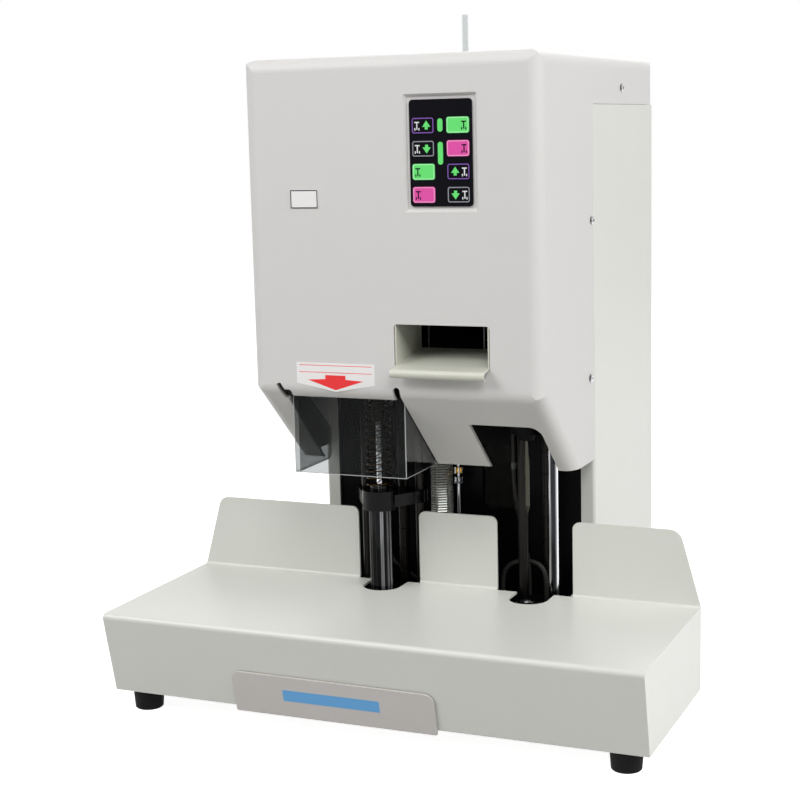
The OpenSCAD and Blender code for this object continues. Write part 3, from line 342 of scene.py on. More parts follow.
def flat_piece(name, corners, push, turn=(0, 0, 0)):
    """A flat face through the given corners, extruded by a vector.
    The turn makes the disc that it starts from face along that vector."""
    deselect()
    bpy.ops.mesh.primitive_circle_add(vertices=len(corners), radius=DISC_RADIUS, fill_type="NGON",
                                      location=sum(corners, Vector()) / len(corners), rotation=turn)
    piece = named(settle(bpy.context.object), name)
    mesh = edit(piece)
    mesh.verts.ensure_lookup_table()
    for vertex, corner in zip(mesh.verts, corners):
        vertex.co = corner
    bmesh.update_edit_mesh(piece.data)
    bpy.ops.mesh.select_mode(type="FACE")
    bpy.ops.mesh.select_all(action="SELECT")
    bpy.ops.mesh.extrude_region_move(TRANSFORM_OT_translate={"value": push})
    return close(piece)


def flat_shape(name, points, y, thick):
    """A flat outline of (x, z) points at depth y, extruded to the front by its thickness."""
    corners = [Vector((x, y, z)) for x, z in points]
    return flat_piece(name, corners, (0, -thick, 0), turn=(math.radians(90), 0, 0))


def flat_frame(name, points, width, y, thick):
    """A thin raised line along the inside of an outline."""
    piece = flat_shape(name, points, y, thick)
    mesh = edit(piece)
    bpy.ops.mesh.select_mode(type="FACE")
    for face in mesh.faces:
        face.select = len(face.verts) > SIDE_CORNERS
    bmesh.update_edit_mesh(piece.data)
    bpy.ops.mesh.inset(thickness=width)
    bpy.ops.mesh.bridge_edge_loops()
    return close(piece)


def bar(name, x, z, w, h, y, thick):
    """A small flat rectangle round (x, z)."""
    return flat_shape(name, [(x + w / 2, z + h / 2), (x - w / 2, z + h / 2), (x - w / 2, z - h / 2),
                             (x + w / 2, z - h / 2)], y, thick)


def round_outline(x0, z0, x1, z1, radius):
    """Points of a rectangle with rounded corners."""
    steps = 5
    points = []
    for cx, cz, start in ((x1 - radius, z1 - radius, 0), (x0 + radius, z1 - radius, 90),
                          (x0 + radius, z0 + radius, 180), (x1 - radius, z0 + radius, 270)):
        for step in range(steps + 1):
            turn = math.radians(start + 90 * step / steps)
            points.append((cx + radius * math.cos(turn), cz + radius * math.sin(turn)))
    return points


def put(piece, body, material):
    """Makes the piece ride on a body with a material."""
    dress(material, piece.name)
    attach(piece, body)


# ---------------------------------------------------------------- operators

class RIVETER_OT_finishes(bpy.types.Operator):
    """Give every CAD node its material"""
    bl_idname = "riveter.finishes"
    bl_label = "Finishes"

    # In millimetres: the depth from the fence at which the chute's ramp runs into the machine,
    # and a radius that holds the foot's sleeve but not its plate.
    chute_inner_y, sleeve_radius = -36.8, 10.6

    def execute(self, context):
        hues = context.scene.riveter_colours
        self.dress_sheet_and_castings(hues)
        self.dress_metals()
        self.dress_plastics(hues)
        return {"FINISHED"}

    def dress_sheet_and_castings(self, hues):
        """Painted, powder-coated and blackened steel."""
        # Powder coat on folded sheet: even and half dull, with a pebbled grain that shows at a slant.
        dress(finish("powder_coated_steel", hues.powder, 0.34, 0.06, grain_mm=0.9, bump_mm=0.02, mottle=0.012),
              "base_table", "base_plate", "column_shell", "rear_panel")
        # Satin paint on the drawer's front: warmer and smoother than the powder coat.
        dress(finish("drawer_front_paint", hues.drawer, 0.4, 0.05, grain_mm=0.8, mottle=0.015), "drawer_front")
        # Cream paint on the chute's sheet: smooth, with painted shade: black from where its ramp runs into the dark
        # inside of the machine.
        cream_and_painted_shade = finish("cream_chute_paint_painted_shade", hues.chute, 0.35, 0.05, grain_mm=0.8)
        dress(painted_shade_behind(cream_and_painted_shade, at(0, self.chute_inner_y, 0).y), "tube_chute")
        # Blackened castings: a coarse sand grain and blotches, with hardly any gloss.
        dress(finish("blackened_cast_iron", hues.black, 0.5, 0.12, grain_mm=1.6, bump_mm=0.06, mottle=0.3,
                     gloss=0.06),
              "frame_bed", "drill_carriage", "rivet_carriage", "upper_heater")
        # Black paint on plates and motors: finer and flatter than the castings.
        dress(finish("black_painted_steel", hues.black, 0.4, 0.1, bump_mm=0.02, mottle=0.2, gloss=0.05),
              "back_plate", "top_plate", "lift_motors", "feed_motor")
        # Blackened and polished foot: almost a mirror, with painted highlights as bright streaks on the sleeve.
        foot = finish("glossy_black_foot_painted_highlights", hues.black, 0.07, 0.03, bump_mm=0.002, mottle=0.2, gloss=0.1)
        dress(painted_highlight_streaks(foot, at(DRILL_X, DRILL_Y, 0), self.sleeve_radius * MM), "press_foot")
        # The same blackening on the die's heater, a little duller from its heat.
        dress(finish("glossy_black_die_heater", hues.black, 0.12, 0.04, bump_mm=0.003, mottle=0.2, gloss=0.15),
              "die_heater")

    def dress_metals(self):
        """Plated, oiled, polished and ground metal."""
        # Zinc plating: grey and half dull, with soft cloudy patches.
        dress(finish("zinc_plated_steel", srgb("#A9ABA8"), 0.34, 0.1, metal=1.0, grain_mm=2.5, mottle=0.1),
              "drawer_tray", "drawer_runners", "foot_screws", "pad_seat", "cutter_housing", "transformer",
              "drill_motor")
        # Oiled turned rods: dark, with the fine rings of the lathe.
        dress(finish("oiled_dark_steel", srgb("#1C1A18"), 0.34, 0.1, metal=0.9, grain_mm=0.8, mottle=0.2,
                     density=TURNED),
              "guide_rods", "drill_screw", "rivet_screw", "guard_pins", "spring_rod", "drill_chuck")
        # Polished drawn bar: dark where it faces the eye, with a painted reflection that brightens it along its
        # edges.
        dress(finish("polished_round_steel_painted_reflection", srgb("#26272A"), 0.1, 0.04, metal=1.0, grain_mm=0.8, bump_mm=0.001,
                     density=DRAWN, painted_rim_reflection=srgb("#D8D9DC")), "rivet_post")
        # The hollow drill: the same, brighter, with a brighter painted reflection along its edges.
        dress(finish("bright_drill_steel_painted_reflection", srgb("#8A8B8E"), 0.14, 0.05, metal=1.0, grain_mm=0.8, bump_mm=0.001,
                     density=DRAWN, painted_rim_reflection=srgb("#F6F6F7")), "hollow_drill")
        # Ground steel: bright, with a very fine grain.
        dress(finish("ground_bright_steel", srgb("#8E8F92"), 0.16, 0.06, metal=1.0, grain_mm=0.6, bump_mm=0.004),
              "lower_die", "cutter_blade", "stop_stud")
        # Tempered needle: brownish from the heat and half dull.
        dress(finish("tempered_needle_steel", srgb("#3C3C35"), 0.28, 0.08, metal=1.0, grain_mm=0.8, bump_mm=0.004,
                     mottle=0.1), "rivet_needle")
        # Nickelled screw heads: dark in the middle, with a painted reflection as a bright rim.
        dress(finish("nickelled_screws_painted_reflection", srgb("#2C2D2F"), 0.18, 0.06, metal=1.0, grain_mm=0.6, bump_mm=0.004,
                     painted_rim_reflection=srgb("#C4C5C7")), "case_screws")
        # Bright spring wire: pale and half dull, so that each curl shows.
        dress(finish("spring_steel_wire", srgb("#F0EFEA"), 0.36, 0.08, metal=1.0, grain_mm=0.8, bump_mm=0.005),
              "buffer_spring")
        # Spring wire: brown, darkened for painted shade inside the drill head, and oily.
        dress(finish("dark_spring_wire_painted_shade", srgb("#3A2C16"), 0.3, 0.1, metal=1.0, grain_mm=0.8, bump_mm=0.005),
              "foot_spring")
        # Turned brass: yellow and clean.
        dress(finish("turned_brass", srgb("#A07C38"), 0.25, 0.08, metal=1.0, grain_mm=0.6, bump_mm=0.004),
              "drill_nut", "rivet_nut")

    def dress_plastics(self, hues):
        """Moulded, clear and printed plastic, rubber and the circuit board."""
        # Moulded casing: duller than the powder coat, with the mould's fine texture.
        dress(finish("matte_abs_casing", hues.casing, 0.5, 0.06, grain_mm=0.6, bump_mm=0.02, mottle=0.01),
              "front_cover")
        # Rubber: black and dull, with a soft worn grain.
        dress(finish("black_rubber", srgb("#0C0C0C"), 0.7, 0.1, grain_mm=0.7, bump_mm=0.05, mottle=0.15,
                     gloss=0.12), "rubber_feet", "feed_roller")
        # Smoky acrylic sheet: darkens what lies behind it, and shines at a slant.
        dress(clear_plastic("smoky_acrylic_guard", (0.63, 0.64, 0.64, 1), 0.006, 0.45), "clear_guard")
        # Clear tube: almost colourless, with bright edges.
        dress(clear_plastic("clear_tube_stock", (0.9, 0.91, 0.91, 1), 0.12, 0.7), "feed_tube")
        # Moulded plastics: half dull, the rocker glossier.
        dress(finish("black_moulded_plastic", srgb("#121213"), 0.4, 0.08, grain_mm=0.5), "power_inlet")
        dress(finish("red_rocker_plastic", srgb("#8E1512"), 0.3, 0.05, grain_mm=0.5, bump_mm=0.005), "power_rocker")
        dress(finish("white_moulded_plastic", srgb("#E8E8E2"), 0.4, 0.08, grain_mm=0.6), "tube_guide", "drill_pad")
        # Lacquered circuit board: blotchy green over its copper.
        dress(finish("green_circuit_board", srgb("#1C5A34"), 0.4, 0.1, grain_mm=1.5, bump_mm=0.02, mottle=0.2),
              "control_board")
        # Polyester film printed from behind: smooth, with little gloss on the dark parts.
        dress(finish("printed_panel_film", hues.panel, 0.3, 0.05, grain_mm=0.4, bump_mm=0.004, gloss=0.06),
              "panel_film", "key_drill_up", "key_drill_down", "key_rivet_up", "key_rivet_down")
        dress(printed("printed_green", hues.green, 0.35), "panel_lamps", "key_drill_auto", "key_rivet_press")
        dress(printed("printed_pink", hues.pink, 0.35), "key_drill_reset", "key_rivet_reset")


class RIVETER_OT_key_marks(bpy.types.Operator):
    """Print the outlines, arrows and small drill and press signs on the keys"""
    bl_idname = "riveter.key_marks"
    bl_label = "Key marks"

    # In millimetres: the outline's distance from the key's edge and its corner radius.
    outline_gap, outline_corner = 0.3, 1.8
    # The arrow's half width, foot and tip from its middle, and its stem's drop, width and height.
    arrow_half, arrow_foot, arrow_tip = 3.6, 1.1, 3.8
    stem_drop, stem_w, stem_h = 2.1, 2.6, 2.2
    # X, Z, width and height of the sign's bars.
    sign_bars = ((0, 2.6, 4.2, 1.0), (0, -0.6, 1.0, 5.4), (-1.8, -2.9, 0.9, 2.0), (1.8, -2.9, 0.9, 2.0))

    def execute(self, context):
        hues, sizes = context.scene.riveter_colours, context.scene.riveter_sizes
        self.outline_keys(hues, sizes)
        self.point_keys(sizes.mark_t)
        self.sign_keys(sizes.mark_t)
        return {"FINISHED"}

    def key_box(self, node):
        """X and Z limits and front Y of a key, in metres."""
        low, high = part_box(node)
        return low[0], low[2], high[0], high[2], low[1]

    def outline_keys(self, hues, sizes):
        """A raised line round each key."""
        violet = printed("printed_violet", hues.violet)
        grey = printed("printed_grey", srgb("#8E8F98"))
        pale_green = printed("printed_pale_green", srgb("#A9F2B0"))
        pale_pink = printed("printed_pale_pink", srgb("#F2A0CC"))
        gap = self.outline_gap * MM
        for node, hue in (("key_drill_up", violet), ("key_drill_down", grey), ("key_rivet_up", violet),
                          ("key_rivet_down", grey), ("key_drill_auto", pale_green), ("key_rivet_press", pale_green),
                          ("key_drill_reset", pale_pink), ("key_rivet_reset", pale_pink)):
            x0, z0, x1, z1, y = self.key_box(node)
            outline = round_outline(x0 + gap, z0 + gap, x1 - gap, z1 - gap, self.outline_corner * MM)
            put(flat_frame(node + "_outline", outline, sizes.outline_w, y, sizes.mark_t), node, hue)

    def point_keys(self, thick):
        """An arrow on each key that moves a head up or down."""
        green = bpy.data.materials["printed_green"]
        for node, way in (("key_drill_up", 1), ("key_drill_down", -1), ("key_rivet_up", 1), ("key_rivet_down", -1)):
            x0, z0, x1, z1, y = self.key_box(node)
            place = 0.66 if node.startswith("key_drill") else 0.36
            cx, cz = x0 + (x1 - x0) * place, (z0 + z1) / 2
            half, foot = self.arrow_half * MM, cz - way * self.arrow_foot * MM
            points = [(cx - half, foot), (cx + half, foot), (cx, cz + way * self.arrow_tip * MM)]
            head = flat_shape(node + "_arrow", points[::way], y, thick)
            stem = bar("stem", cx, cz - way * self.stem_drop * MM, self.stem_w * MM, self.stem_h * MM, y, thick)
            put(join(node + "_arrow", [head, stem]), node, green)

    def sign_keys(self, thick):
        """A small press sign on each key, dark on the coloured ones."""
        white = printed("printed_white", srgb("#E4E4E6"))
        dark = bpy.data.materials["printed_panel_film"]
        for node in [n for n in NODES if n.startswith("key_")]:
            x0, z0, x1, z1, y = self.key_box(node)
            place = 0.24 if node.startswith("key_drill") else 0.77
            cx, cz = x0 + (x1 - x0) * place, (z0 + z1) / 2
            parts = [bar("sign_bar", cx + x * MM, cz + z * MM, w * MM, h * MM, y, thick)
                     for x, z, w, h in self.sign_bars]
            coloured = node.endswith(("auto", "reset", "press"))
            put(join(node + "_sign", parts), node, dark if coloured else white)


class RIVETER_OT_casing_marks(bpy.types.Operator):
    """Add the arrow label and the bare nameplate on the casing's front"""
    bl_idname = "riveter.casing_marks"
    bl_label = "Casing marks"

    # In millimetres, with heights from the base's underside: outlines of the label and its arrow.
    label = ((-16.5, 285.5), (-89.5, 285.5), (-89.5, 267.5), (-53, 260.8), (-16.5, 267.5))
    arrow = ((-43.5, 271.5), (-43.5, 275), (-62.5, 275), (-62.5, 271.5), (-79, 270.6), (-53, 262.3), (-27, 270.6))
    # Middle, heights, width and thickness of the two rules over the arrow.
    rule_x, rule_heights, rule_w, rule_h = -53, (283.2, 277.2), 68, 0.5
    # Two corners of the nameplate, its corner radius, its thickness and the width of its line.
    plate_low, plate_high = (-89.8, 416.2), (-64.4, 431.5)
    plate_corner, plate_t, plate_line = 1, 0.5, 0.9

    def execute(self, context):
        hues, thick = context.scene.riveter_colours, context.scene.riveter_sizes.mark_t
        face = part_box("front_cover")[0][1]
        # Half dull label film, and the inks on it.
        white = printed("white_label_film", srgb("#EDEBEA"), grain_mm=0.5)
        red = printed("red_print", hues.arrow, grain_mm=0.5)
        ink = printed("dark_print", srgb("#26262A"), grain_mm=0.5)
        marks = [(flat_shape("arrow_label", above_base(self.label), face, thick), white),
                 (flat_shape("arrow_print", above_base(self.arrow), face - thick, thick), red)]
        for number, height in enumerate(self.rule_heights):
            marks.append((bar(f"arrow_rule_{number}", self.rule_x * MM, SILL + height * MM, self.rule_w * MM,
                              self.rule_h * MM, face - thick, thick / 2), red))
        low, high = above_base((self.plate_low, self.plate_high))
        plate, plate_t = round_outline(*low, *high, self.plate_corner * MM), self.plate_t * MM
        marks.append((flat_shape("nameplate", plate, face, plate_t), white))
        marks.append((flat_frame("nameplate_line", plate, self.plate_line * MM, face - plate_t, thick / 2), ink))
        for piece, material in marks:
            put(piece, "machine", material)
        return {"FINISHED"}


class RIVETER_OT_guard_edges(bpy.types.Operator):
    """Lay pale strips on the cut edges of the clear guard as painted highlights"""
    bl_idname = "riveter.guard_edges"
    bl_label = "Guard edges"

    # In millimetres: a bright edge's width and thickness, and how far it stands out of the sheet.
    width, thick, proud = 0.45, 0.4, 0.05
    # Depths of the guard's front pane and its rear edge from the fence, and the height where the casing hides it.
    pane_y, rear_y, top_z = -79, -11.4, 180
    # Radius of the side's lower corner, two points of its rear edge (run to the front and rise from the base),
    # and the run at which that edge slants out of sight.
    corner = 7
    rear_edge = ((0, 27), (1, 29.2))
    slant_run = 46.2

    def execute(self, context):
        low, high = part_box("clear_guard")
        # Painted highlight: a pale strip standing in for the light that a polished acrylic edge collects from the
        # whole sheet.
        edge_highlight = finish("acrylic_edge_painted_highlight", srgb("#C2C6C6"), 0.2, 0.06, grain_mm=0.8, bump_mm=0.004)
        width, thick, proud = self.width * MM, self.thick * MM, self.proud * MM
        front, rear, base, top = at(0, self.pane_y, 0).y, at(0, self.rear_y, 0).y, low[2], at(0, 0, self.top_z).z
        pane = [(low[0], top), (low[0], base), (high[0], base), (high[0], top), (high[0] - width, top),
                (high[0] - width, base + width), (low[0] + width, base + width), (low[0] + width, top)]
        strip = flat_shape("guard_edge_front", pane[::-1], front + thick - proud, thick)
        put(strip, "guard", edge_highlight)
        corner = self.corner * MM
        side = [(front, top), (front, base)]
        for turn in (math.radians(angle) for angle in range(0, 91, 15)):
            side.append((rear - corner + corner * math.sin(turn), base + corner - corner * math.cos(turn)))
        side += [(rear - run * MM, base + rise * MM) for run, rise in self.rear_edge]
        side.append((rear - self.slant_run * MM, top))
        for name, x in (("guard_edge_left", low[0] - proud), ("guard_edge_right", high[0] - thick + proud)):
            strip = flat_frame(name, side, width, 0, thick)
            strip.rotation_euler = (0, 0, math.radians(90))
            strip.location = (x, 0, 0)
            put(settle(strip), "guard", edge_highlight)
        return {"FINISHED"}


class RIVETER_OT_drawer_strip(bpy.types.Operator):
    """Add the bare blue strip on the drawer's slanted front"""
    bl_idname = "riveter.drawer_strip"
    bl_label = "Drawer strip"

    # In millimetres: ends, half height and corner radius, and the height of its middle above the base's underside.
    left, right, half_h, corner, rise = -72, 16, 5.2, 0.6, 15.8

    def execute(self, context):
        blue = printed("blue_strip_film", context.scene.riveter_colours.strip, grain_mm=0.5)
        half_h, rise = self.half_h * MM, self.rise * MM
        outline = round_outline(self.left * MM, -half_h, self.right * MM, half_h, self.corner * MM)
        strip = flat_shape("drawer_strip", outline, 0, context.scene.riveter_sizes.mark_t)
        strip.rotation_euler = (FRONT_LEAN, 0, 0)
        strip.location = (0, DRAWER_FOOT_Y - rise * math.tan(FRONT_LEAN), SILL + rise)
        put(settle(strip), "drawer", blue)
        return {"FINISHED"}


def smooth_route(points, steps=6):
    """Points of a smooth curve through the given ones."""
    given = [points[0]] + points + [points[-1]]
    route = []
    for k in range(1, len(given) - 2):
        a, b, c, d = given[k - 1:k + 3]
        for step in range(steps):
            t = step / steps
            route.append(0.5 * (2 * b + (c - a) * t + (2 * a - 5 * b + 4 * c - d) * t ** 2
                                + (3 * b - a - 3 * c + d) * t ** 3))
    return route + [given[-1]]


def tube(name, route, diameter, roundness=4):
    """A round tube along the points of a route, as a curve."""
    deselect()
    bpy.ops.curve.primitive_nurbs_path_add(location=(0, 0, 0))
    piece = named(bpy.context.object, name)
    spline = piece.data.splines[0]
    spline.type = "POLY"
    spline.points.add(len(route) - len(spline.points))
    for point, place in zip(spline.points, route):
        point.co = (*place, 1)
    piece.data.bevel_depth = diameter / 2
    piece.data.bevel_resolution = roundness
    piece.data.use_fill_caps = True
    return piece


class RIVETER_OT_wiring(bpy.types.Operator):
    """Lay the grey cables behind the two slots of the fence and clip them to the frame"""
    bl_idname = "riveter.wiring"
    bl_label = "Wiring"

    # Each cable's route, in millimetres from the foot of the fence.
    routes = {
        "heater_cable": ((54.4, 20, -18), (54.6, 20, -6), (54.9, 20, 3.3), (57, 20, 12), (62.6, 20, 18.6),
                         (70.3, 20, 21.8), (77, 20, 22.6), (84.5, 20, 22), (90.6, 20, 19), (94.6, 20, 12),
                         (96, 20, 2), (96.2, 20, -8), (96.2, 20, -18)),
        "head_cable": ((69.5, 49.8, -18), (69.4, 49.8, 0), (68.5, 49.8, 15.6), (66.7, 49.8, 25), (64.9, 49.8, 36),
                       (61.2, 49.8, 52.6), (57.2, 49.8, 71), (55.6, 49.8, 90), (55.4, 49.8, 117), (55.4, 49.8, 200),
                       (55.4, 49.8, 300), (55.4, 49.8, 412)),
        "drill_cable": ((-80, 84, 41), (-80, 84, 52), (-80, 80, 66), (-81, 71, 77), (-83, 60, 80), (-84, 50.5, 72),
                        (-83.5, 47.5, 58), (-81, 46.8, 42), (-76, 46.6, 25), (-68.6, 46.6, 11.7),
                        (-61.6, 46.6, 3.5), (-53.5, 46.6, -2), (-43, 46.6, -8.5), (-33, 46.2, -12.6),
                        (-26, 45.6, -14.2), (-19, 45, -14.3)),
    }
    # Where head_cable runs straight up in front of the back plate, and the heights of its clips.
    clip_x, clip_y, plate_y, clip_heights = 55.4, 49.8, 53.4, (100, 165)
    # A clip's room round the cable, its sheet's thickness, the reach of its foot and its height.
    clip_gap, clip_t, clip_foot, clip_h = 0.05, 0.8, 8, 6

    def execute(self, context):
        diameter = context.scene.riveter_sizes.wire_d
        # Grey cable sleeve: soft and dull, with scuffs.
        grey = finish("grey_cable_sleeve", srgb("#232220"), 0.5, 0.1, grain_mm=0.8, bump_mm=0.02, mottle=0.1,
                      gloss=0.25)
        for name, points in self.routes.items():
            self.lay(name, smooth_route([at(*point) for point in points]), diameter, grey)
        # Zinc-plated band: dark and cloudy.
        zinc = finish("zinc_cable_clip", srgb("#3E3F3F"), 0.4, 0.1, metal=1.0, grain_mm=1.2)
        for number, height in enumerate(self.clip_heights):
            self.clip(f"cable_clip_{number}", height, diameter / 2 / MM, zinc)
        return {"FINISHED"}

    def lay(self, name, route, diameter, material):
        """A round cable between two places in the machine."""
        piece = tube(name, route, diameter)
        put(piece, "machine", material)

    def clip(self, name, height, radius, material):
        """A bent band over the upright cable, with a flat foot on the back plate."""
        inner, outer = radius + self.clip_gap, radius + self.clip_gap + self.clip_t
        front_y, foot_x = self.plate_y - self.clip_t, self.clip_x + radius + self.clip_foot

        def arch(reach, angles):
            turns = [math.radians(angle) for angle in angles]
            return [(self.clip_x + reach * math.cos(turn), self.clip_y - reach * math.sin(turn)) for turn in turns]

        profile = [(self.clip_x + inner, self.plate_y), *arch(inner, range(0, 181, 20)),
                   (self.clip_x - inner, self.plate_y), (self.clip_x - outer, self.plate_y),
                   *arch(outer, range(180, -1, -20)), (self.clip_x + outer, front_y), (foot_x, front_y),
                   (foot_x, self.plate_y)]
        piece = flat_piece(name, [at(x, y, height) for x, y in profile], (0, 0, self.clip_h * MM))
        put(piece, "machine", material)


class RIVETER_OT_foot_coil(bpy.types.Operator):
    """Wind the foot's spring"""
    bl_idname = "riveter.foot_coil"
    bl_label = "Foot coil"

    curls, steps = 16, 24
    # In millimetres: radius of the wire's middle, its diameter, its lowest and highest turn, and the seat above it.
    radius, wire_d, low, high, seat_z = 11.05, 1.3, 90.25, 188.15, 189.2

    def execute(self, context):
        count = self.curls * self.steps
        route = []
        for number in range(count + 1):
            turn = 2 * math.pi * number / self.steps
            route.append(at(DRILL_X + self.radius * math.cos(turn), DRILL_Y + self.radius * math.sin(turn),
                            self.low + (self.high - self.low) * number / count))
        piece = tube("foot_spring_coil", route, self.wire_d * MM, roundness=2)
        pick(piece)
        bpy.ops.object.convert(target="MESH")
        edit(piece)
        close(piece, angle=60)
        put(piece, "drill_head", bpy.data.materials["dark_spring_wire_painted_shade"])
        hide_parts("foot_spring")
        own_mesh(piece)
        return {"FINISHED"}


class RIVETER_OT_stud_nut(bpy.types.Operator):
    """Put the brass nut, the lock nut and the bright washer on the stop stud"""
    bl_idname = "riveter.stud_nut"
    bl_label = "Stud nut"

    # In millimetres: the stud's place, the bevel on each rim, and how level an edge is that belongs to a rim.
    stud_x, stud_y, bevel, level = 5.8, 39.6, 0.35, 0.1
    # Sides, radius, lowest and highest Z, material and slot of each piece.
    pieces = {
        "stud_brass_nut": (6, 4.45, 94.9, 101.1, "turned_brass", "brass_metal"),
        "stud_lock_nut": (6, 4.15, 87.1, 91.8, "nickelled_screws_painted_reflection", "bright_steel"),
        "stud_washer": (32, 4.7, 85.9, 87.3, "nickelled_screws_painted_reflection", "bright_steel"),
    }

    def execute(self, context):
        for name, (sides, radius, low, high, material, slot) in self.pieces.items():
            deselect()
            bpy.ops.mesh.primitive_cylinder_add(vertices=sides, radius=radius * MM, depth=(high - low) * MM,
                                                location=at(self.stud_x, self.stud_y, (low + high) / 2))
            piece = named(settle(bpy.context.object), name)
            mesh = edit(piece)
            bpy.ops.mesh.select_mode(type="EDGE")
            for line in mesh.edges:
                ends = [vertex.co.z for vertex in line.verts]
                line.select = abs(ends[0] - ends[1]) < self.level * MM
            bmesh.update_edit_mesh(piece.data)
            bpy.ops.mesh.bevel(offset=self.bevel * MM, segments=2, affect="EDGES")
            put(close(piece), "machine", bpy.data.materials[material])
        return {"FINISHED"}


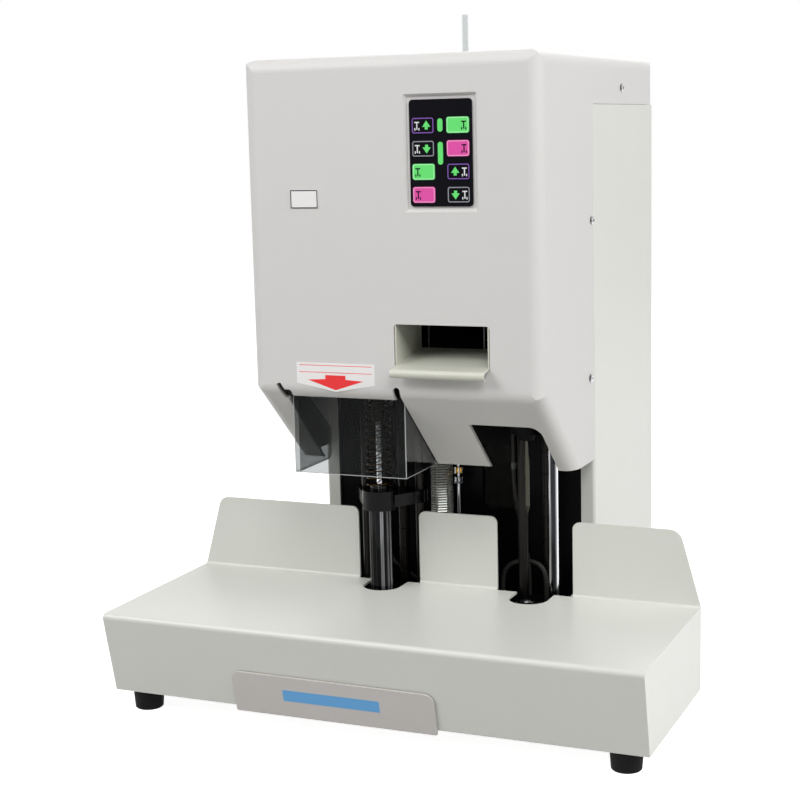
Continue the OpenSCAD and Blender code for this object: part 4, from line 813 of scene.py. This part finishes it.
class RIVETER_OT_stage(bpy.types.Operator):
    """Set the floor, the lights, the world and the camera"""
    bl_idname = "riveter.stage"
    bl_label = "Stage"

    floor_size = 12
    # Place, side and power of each square lamp, and the point that all of them face.
    lamps = {
        "light_right": ((2.4, -0.3, 1.5), 1.6, 43),
        "light_front": ((-1.4, -1.9, 2.0), 1.2, 32),
        "light_camera_side": ((1.2, -1.8, 2.2), 1.2, 31),
        "light_left": ((-2.0, -0.9, 1.6), 1.2, 11),
        "light_back": ((-0.5, 2.4, 1.5), 1.4, 18),
    }
    lit_point = (0, 0, 0.25)
    # Grey that the floor and the world have for the light that falls on the object.
    surround = (0.4, 0.4, 0.4, 1)
    world_strength = 0.4
    # The floor's own white to the eye, and the grey on it that takes the object's soft shadow.
    floor_glow, floor_shade = 0.9, (0.8, 0.8, 0.8, 1)
    # The camera, from the middle of the table's front edge at the base's underside, and its turns in radians.
    camera_x, camera_y, camera_z = 0.558, -1.179, 0.481
    yaw, pitch, roll = -0.41, -0.1609, -0.0241
    lens_mm, sensor_mm = 75.4, 36

    def execute(self, context):
        self.lay_floor()
        self.light_world(context.scene)
        for name, (place, side, power) in self.lamps.items():
            self.hang_lamp(context.scene, name, Vector(place), side, power)
        self.place_camera(context.scene)
        context.scene.view_settings.view_transform = "Standard"
        return {"FINISHED"}

    def lay_floor(self):
        """A plain floor that is white to the eye."""
        deselect()
        bpy.ops.mesh.primitive_plane_add(size=self.floor_size, location=(0, 0, 0))
        floor = named(bpy.context.object, "floor")
        made, tree = blank_material("stage_white")
        glow = add_node(tree, "ShaderNodeEmission", {"Color": (1, 1, 1, 1), "Strength": self.floor_glow})
        shaded = add_node(tree, "ShaderNodeBsdfDiffuse", {"Color": self.floor_shade})
        seen = add_node(tree, "ShaderNodeAddShader", {0: glow.outputs[0], 1: shaded.outputs[0]})
        lit = add_node(tree, "ShaderNodeBsdfDiffuse", {"Color": self.surround})
        self.show_or_light(tree, "ShaderNodeOutputMaterial", seen, lit)
        floor.data.materials.append(made)

    def light_world(self, scene):
        """A plain world that is white to the eye."""
        world = bpy.data.worlds.new("soft_world")
        scene.world = world
        world.use_nodes = True
        tree = world.node_tree
        tree.nodes.clear()
        seen = add_node(tree, "ShaderNodeBackground", {"Color": (1, 1, 1, 1)})
        lit = add_node(tree, "ShaderNodeBackground", {"Color": self.surround, "Strength": self.world_strength})
        self.show_or_light(tree, "ShaderNodeOutputWorld", seen, lit)

    def show_or_light(self, tree, out_kind, seen, lit):
        """Uses one shader for the camera, mirrors and clear parts, and the other one for everything else."""
        path = add_node(tree, "ShaderNodeLightPath").outputs
        share = path["Is Camera Ray"]
        for ray in ("Is Glossy Ray", "Is Transmission Ray"):
            both = add_node(tree, "ShaderNodeMath", {0: share, 1: path[ray]}, operation="ADD", use_clamp=True)
            share = both.outputs[0]
        mixed = add_node(tree, "ShaderNodeMixShader", {"Fac": share, 1: lit.outputs[0], 2: seen.outputs[0]})
        add_node(tree, out_kind, {"Surface": mixed.outputs["Shader"]})

    def hang_lamp(self, scene, name, place, side, power):
        """A square lamp that faces the machine."""
        lamp = bpy.data.lights.new(name, "AREA")
        lamp.size = side
        lamp.energy = power
        holder = bpy.data.objects.new(name, lamp)
        scene.collection.objects.link(holder)
        holder.location = place
        holder.rotation_euler = (Vector(self.lit_point) - place).to_track_quat("-Z", "Y").to_euler()

    def place_camera(self, scene):
        """The camera at the photograph's viewing angle."""
        camera = bpy.data.objects.new("camera", bpy.data.cameras.new("camera"))
        scene.collection.objects.link(camera)
        scene.camera = camera
        camera.data.lens = self.lens_mm
        camera.data.sensor_width = self.sensor_mm
        camera.data.dof.use_dof = False
        ahead = Vector((math.sin(self.yaw) * math.cos(self.pitch), math.cos(self.yaw) * math.cos(self.pitch),
                        math.sin(self.pitch)))
        right = Vector((math.cos(self.yaw), -math.sin(self.yaw), 0))
        up = right.cross(ahead)
        right_rolled = math.cos(self.roll) * right + math.sin(self.roll) * up
        up_rolled = -math.sin(self.roll) * right + math.cos(self.roll) * up
        turn = Matrix((right_rolled, up_rolled, -ahead)).transposed().to_4x4()
        place = (self.camera_x, self.camera_y + TABLE_EDGE_Y, self.camera_z + SILL)
        camera.matrix_world = Matrix.Translation(place) @ turn


# ---------------------------------------------------------------- panel and registration

STEPS = (RIVETER_OT_finishes, RIVETER_OT_key_marks, RIVETER_OT_casing_marks, RIVETER_OT_guard_edges,
         RIVETER_OT_drawer_strip, RIVETER_OT_wiring, RIVETER_OT_foot_coil, RIVETER_OT_stud_nut, RIVETER_OT_stage)


class RIVETER_PT_panel(bpy.types.Panel):
    """Colours, sizes and steps of the machine's dressing"""
    bl_label = "Riveting machine"
    bl_idname = "RIVETER_PT_panel"
    bl_space_type = "VIEW_3D"
    bl_region_type = "UI"
    bl_category = "Riveter"

    def draw(self, context):
        for group in (context.scene.riveter_colours, context.scene.riveter_sizes):
            for name in group.bl_rna.properties.keys():
                if name not in {"rna_type", "name"}:
                    self.layout.prop(group, name)
        for step in STEPS:
            self.layout.operator(step.bl_idname)


CLASSES = (RIVETER_PG_colours, RIVETER_PG_sizes, *STEPS, RIVETER_PT_panel)


def register():
    for kind in CLASSES:
        bpy.utils.register_class(kind)
    bpy.types.Scene.riveter_colours = PointerProperty(type=RIVETER_PG_colours)
    bpy.types.Scene.riveter_sizes = PointerProperty(type=RIVETER_PG_sizes)


def unregister():
    del bpy.types.Scene.riveter_sizes
    del bpy.types.Scene.riveter_colours
    for kind in reversed(CLASSES):
        bpy.utils.unregister_class(kind)


def main():
    register()
    for step in STEPS:
        getattr(bpy.ops.riveter, step.bl_idname.split(".")[1])()


if __name__ == "__main__":
    main()
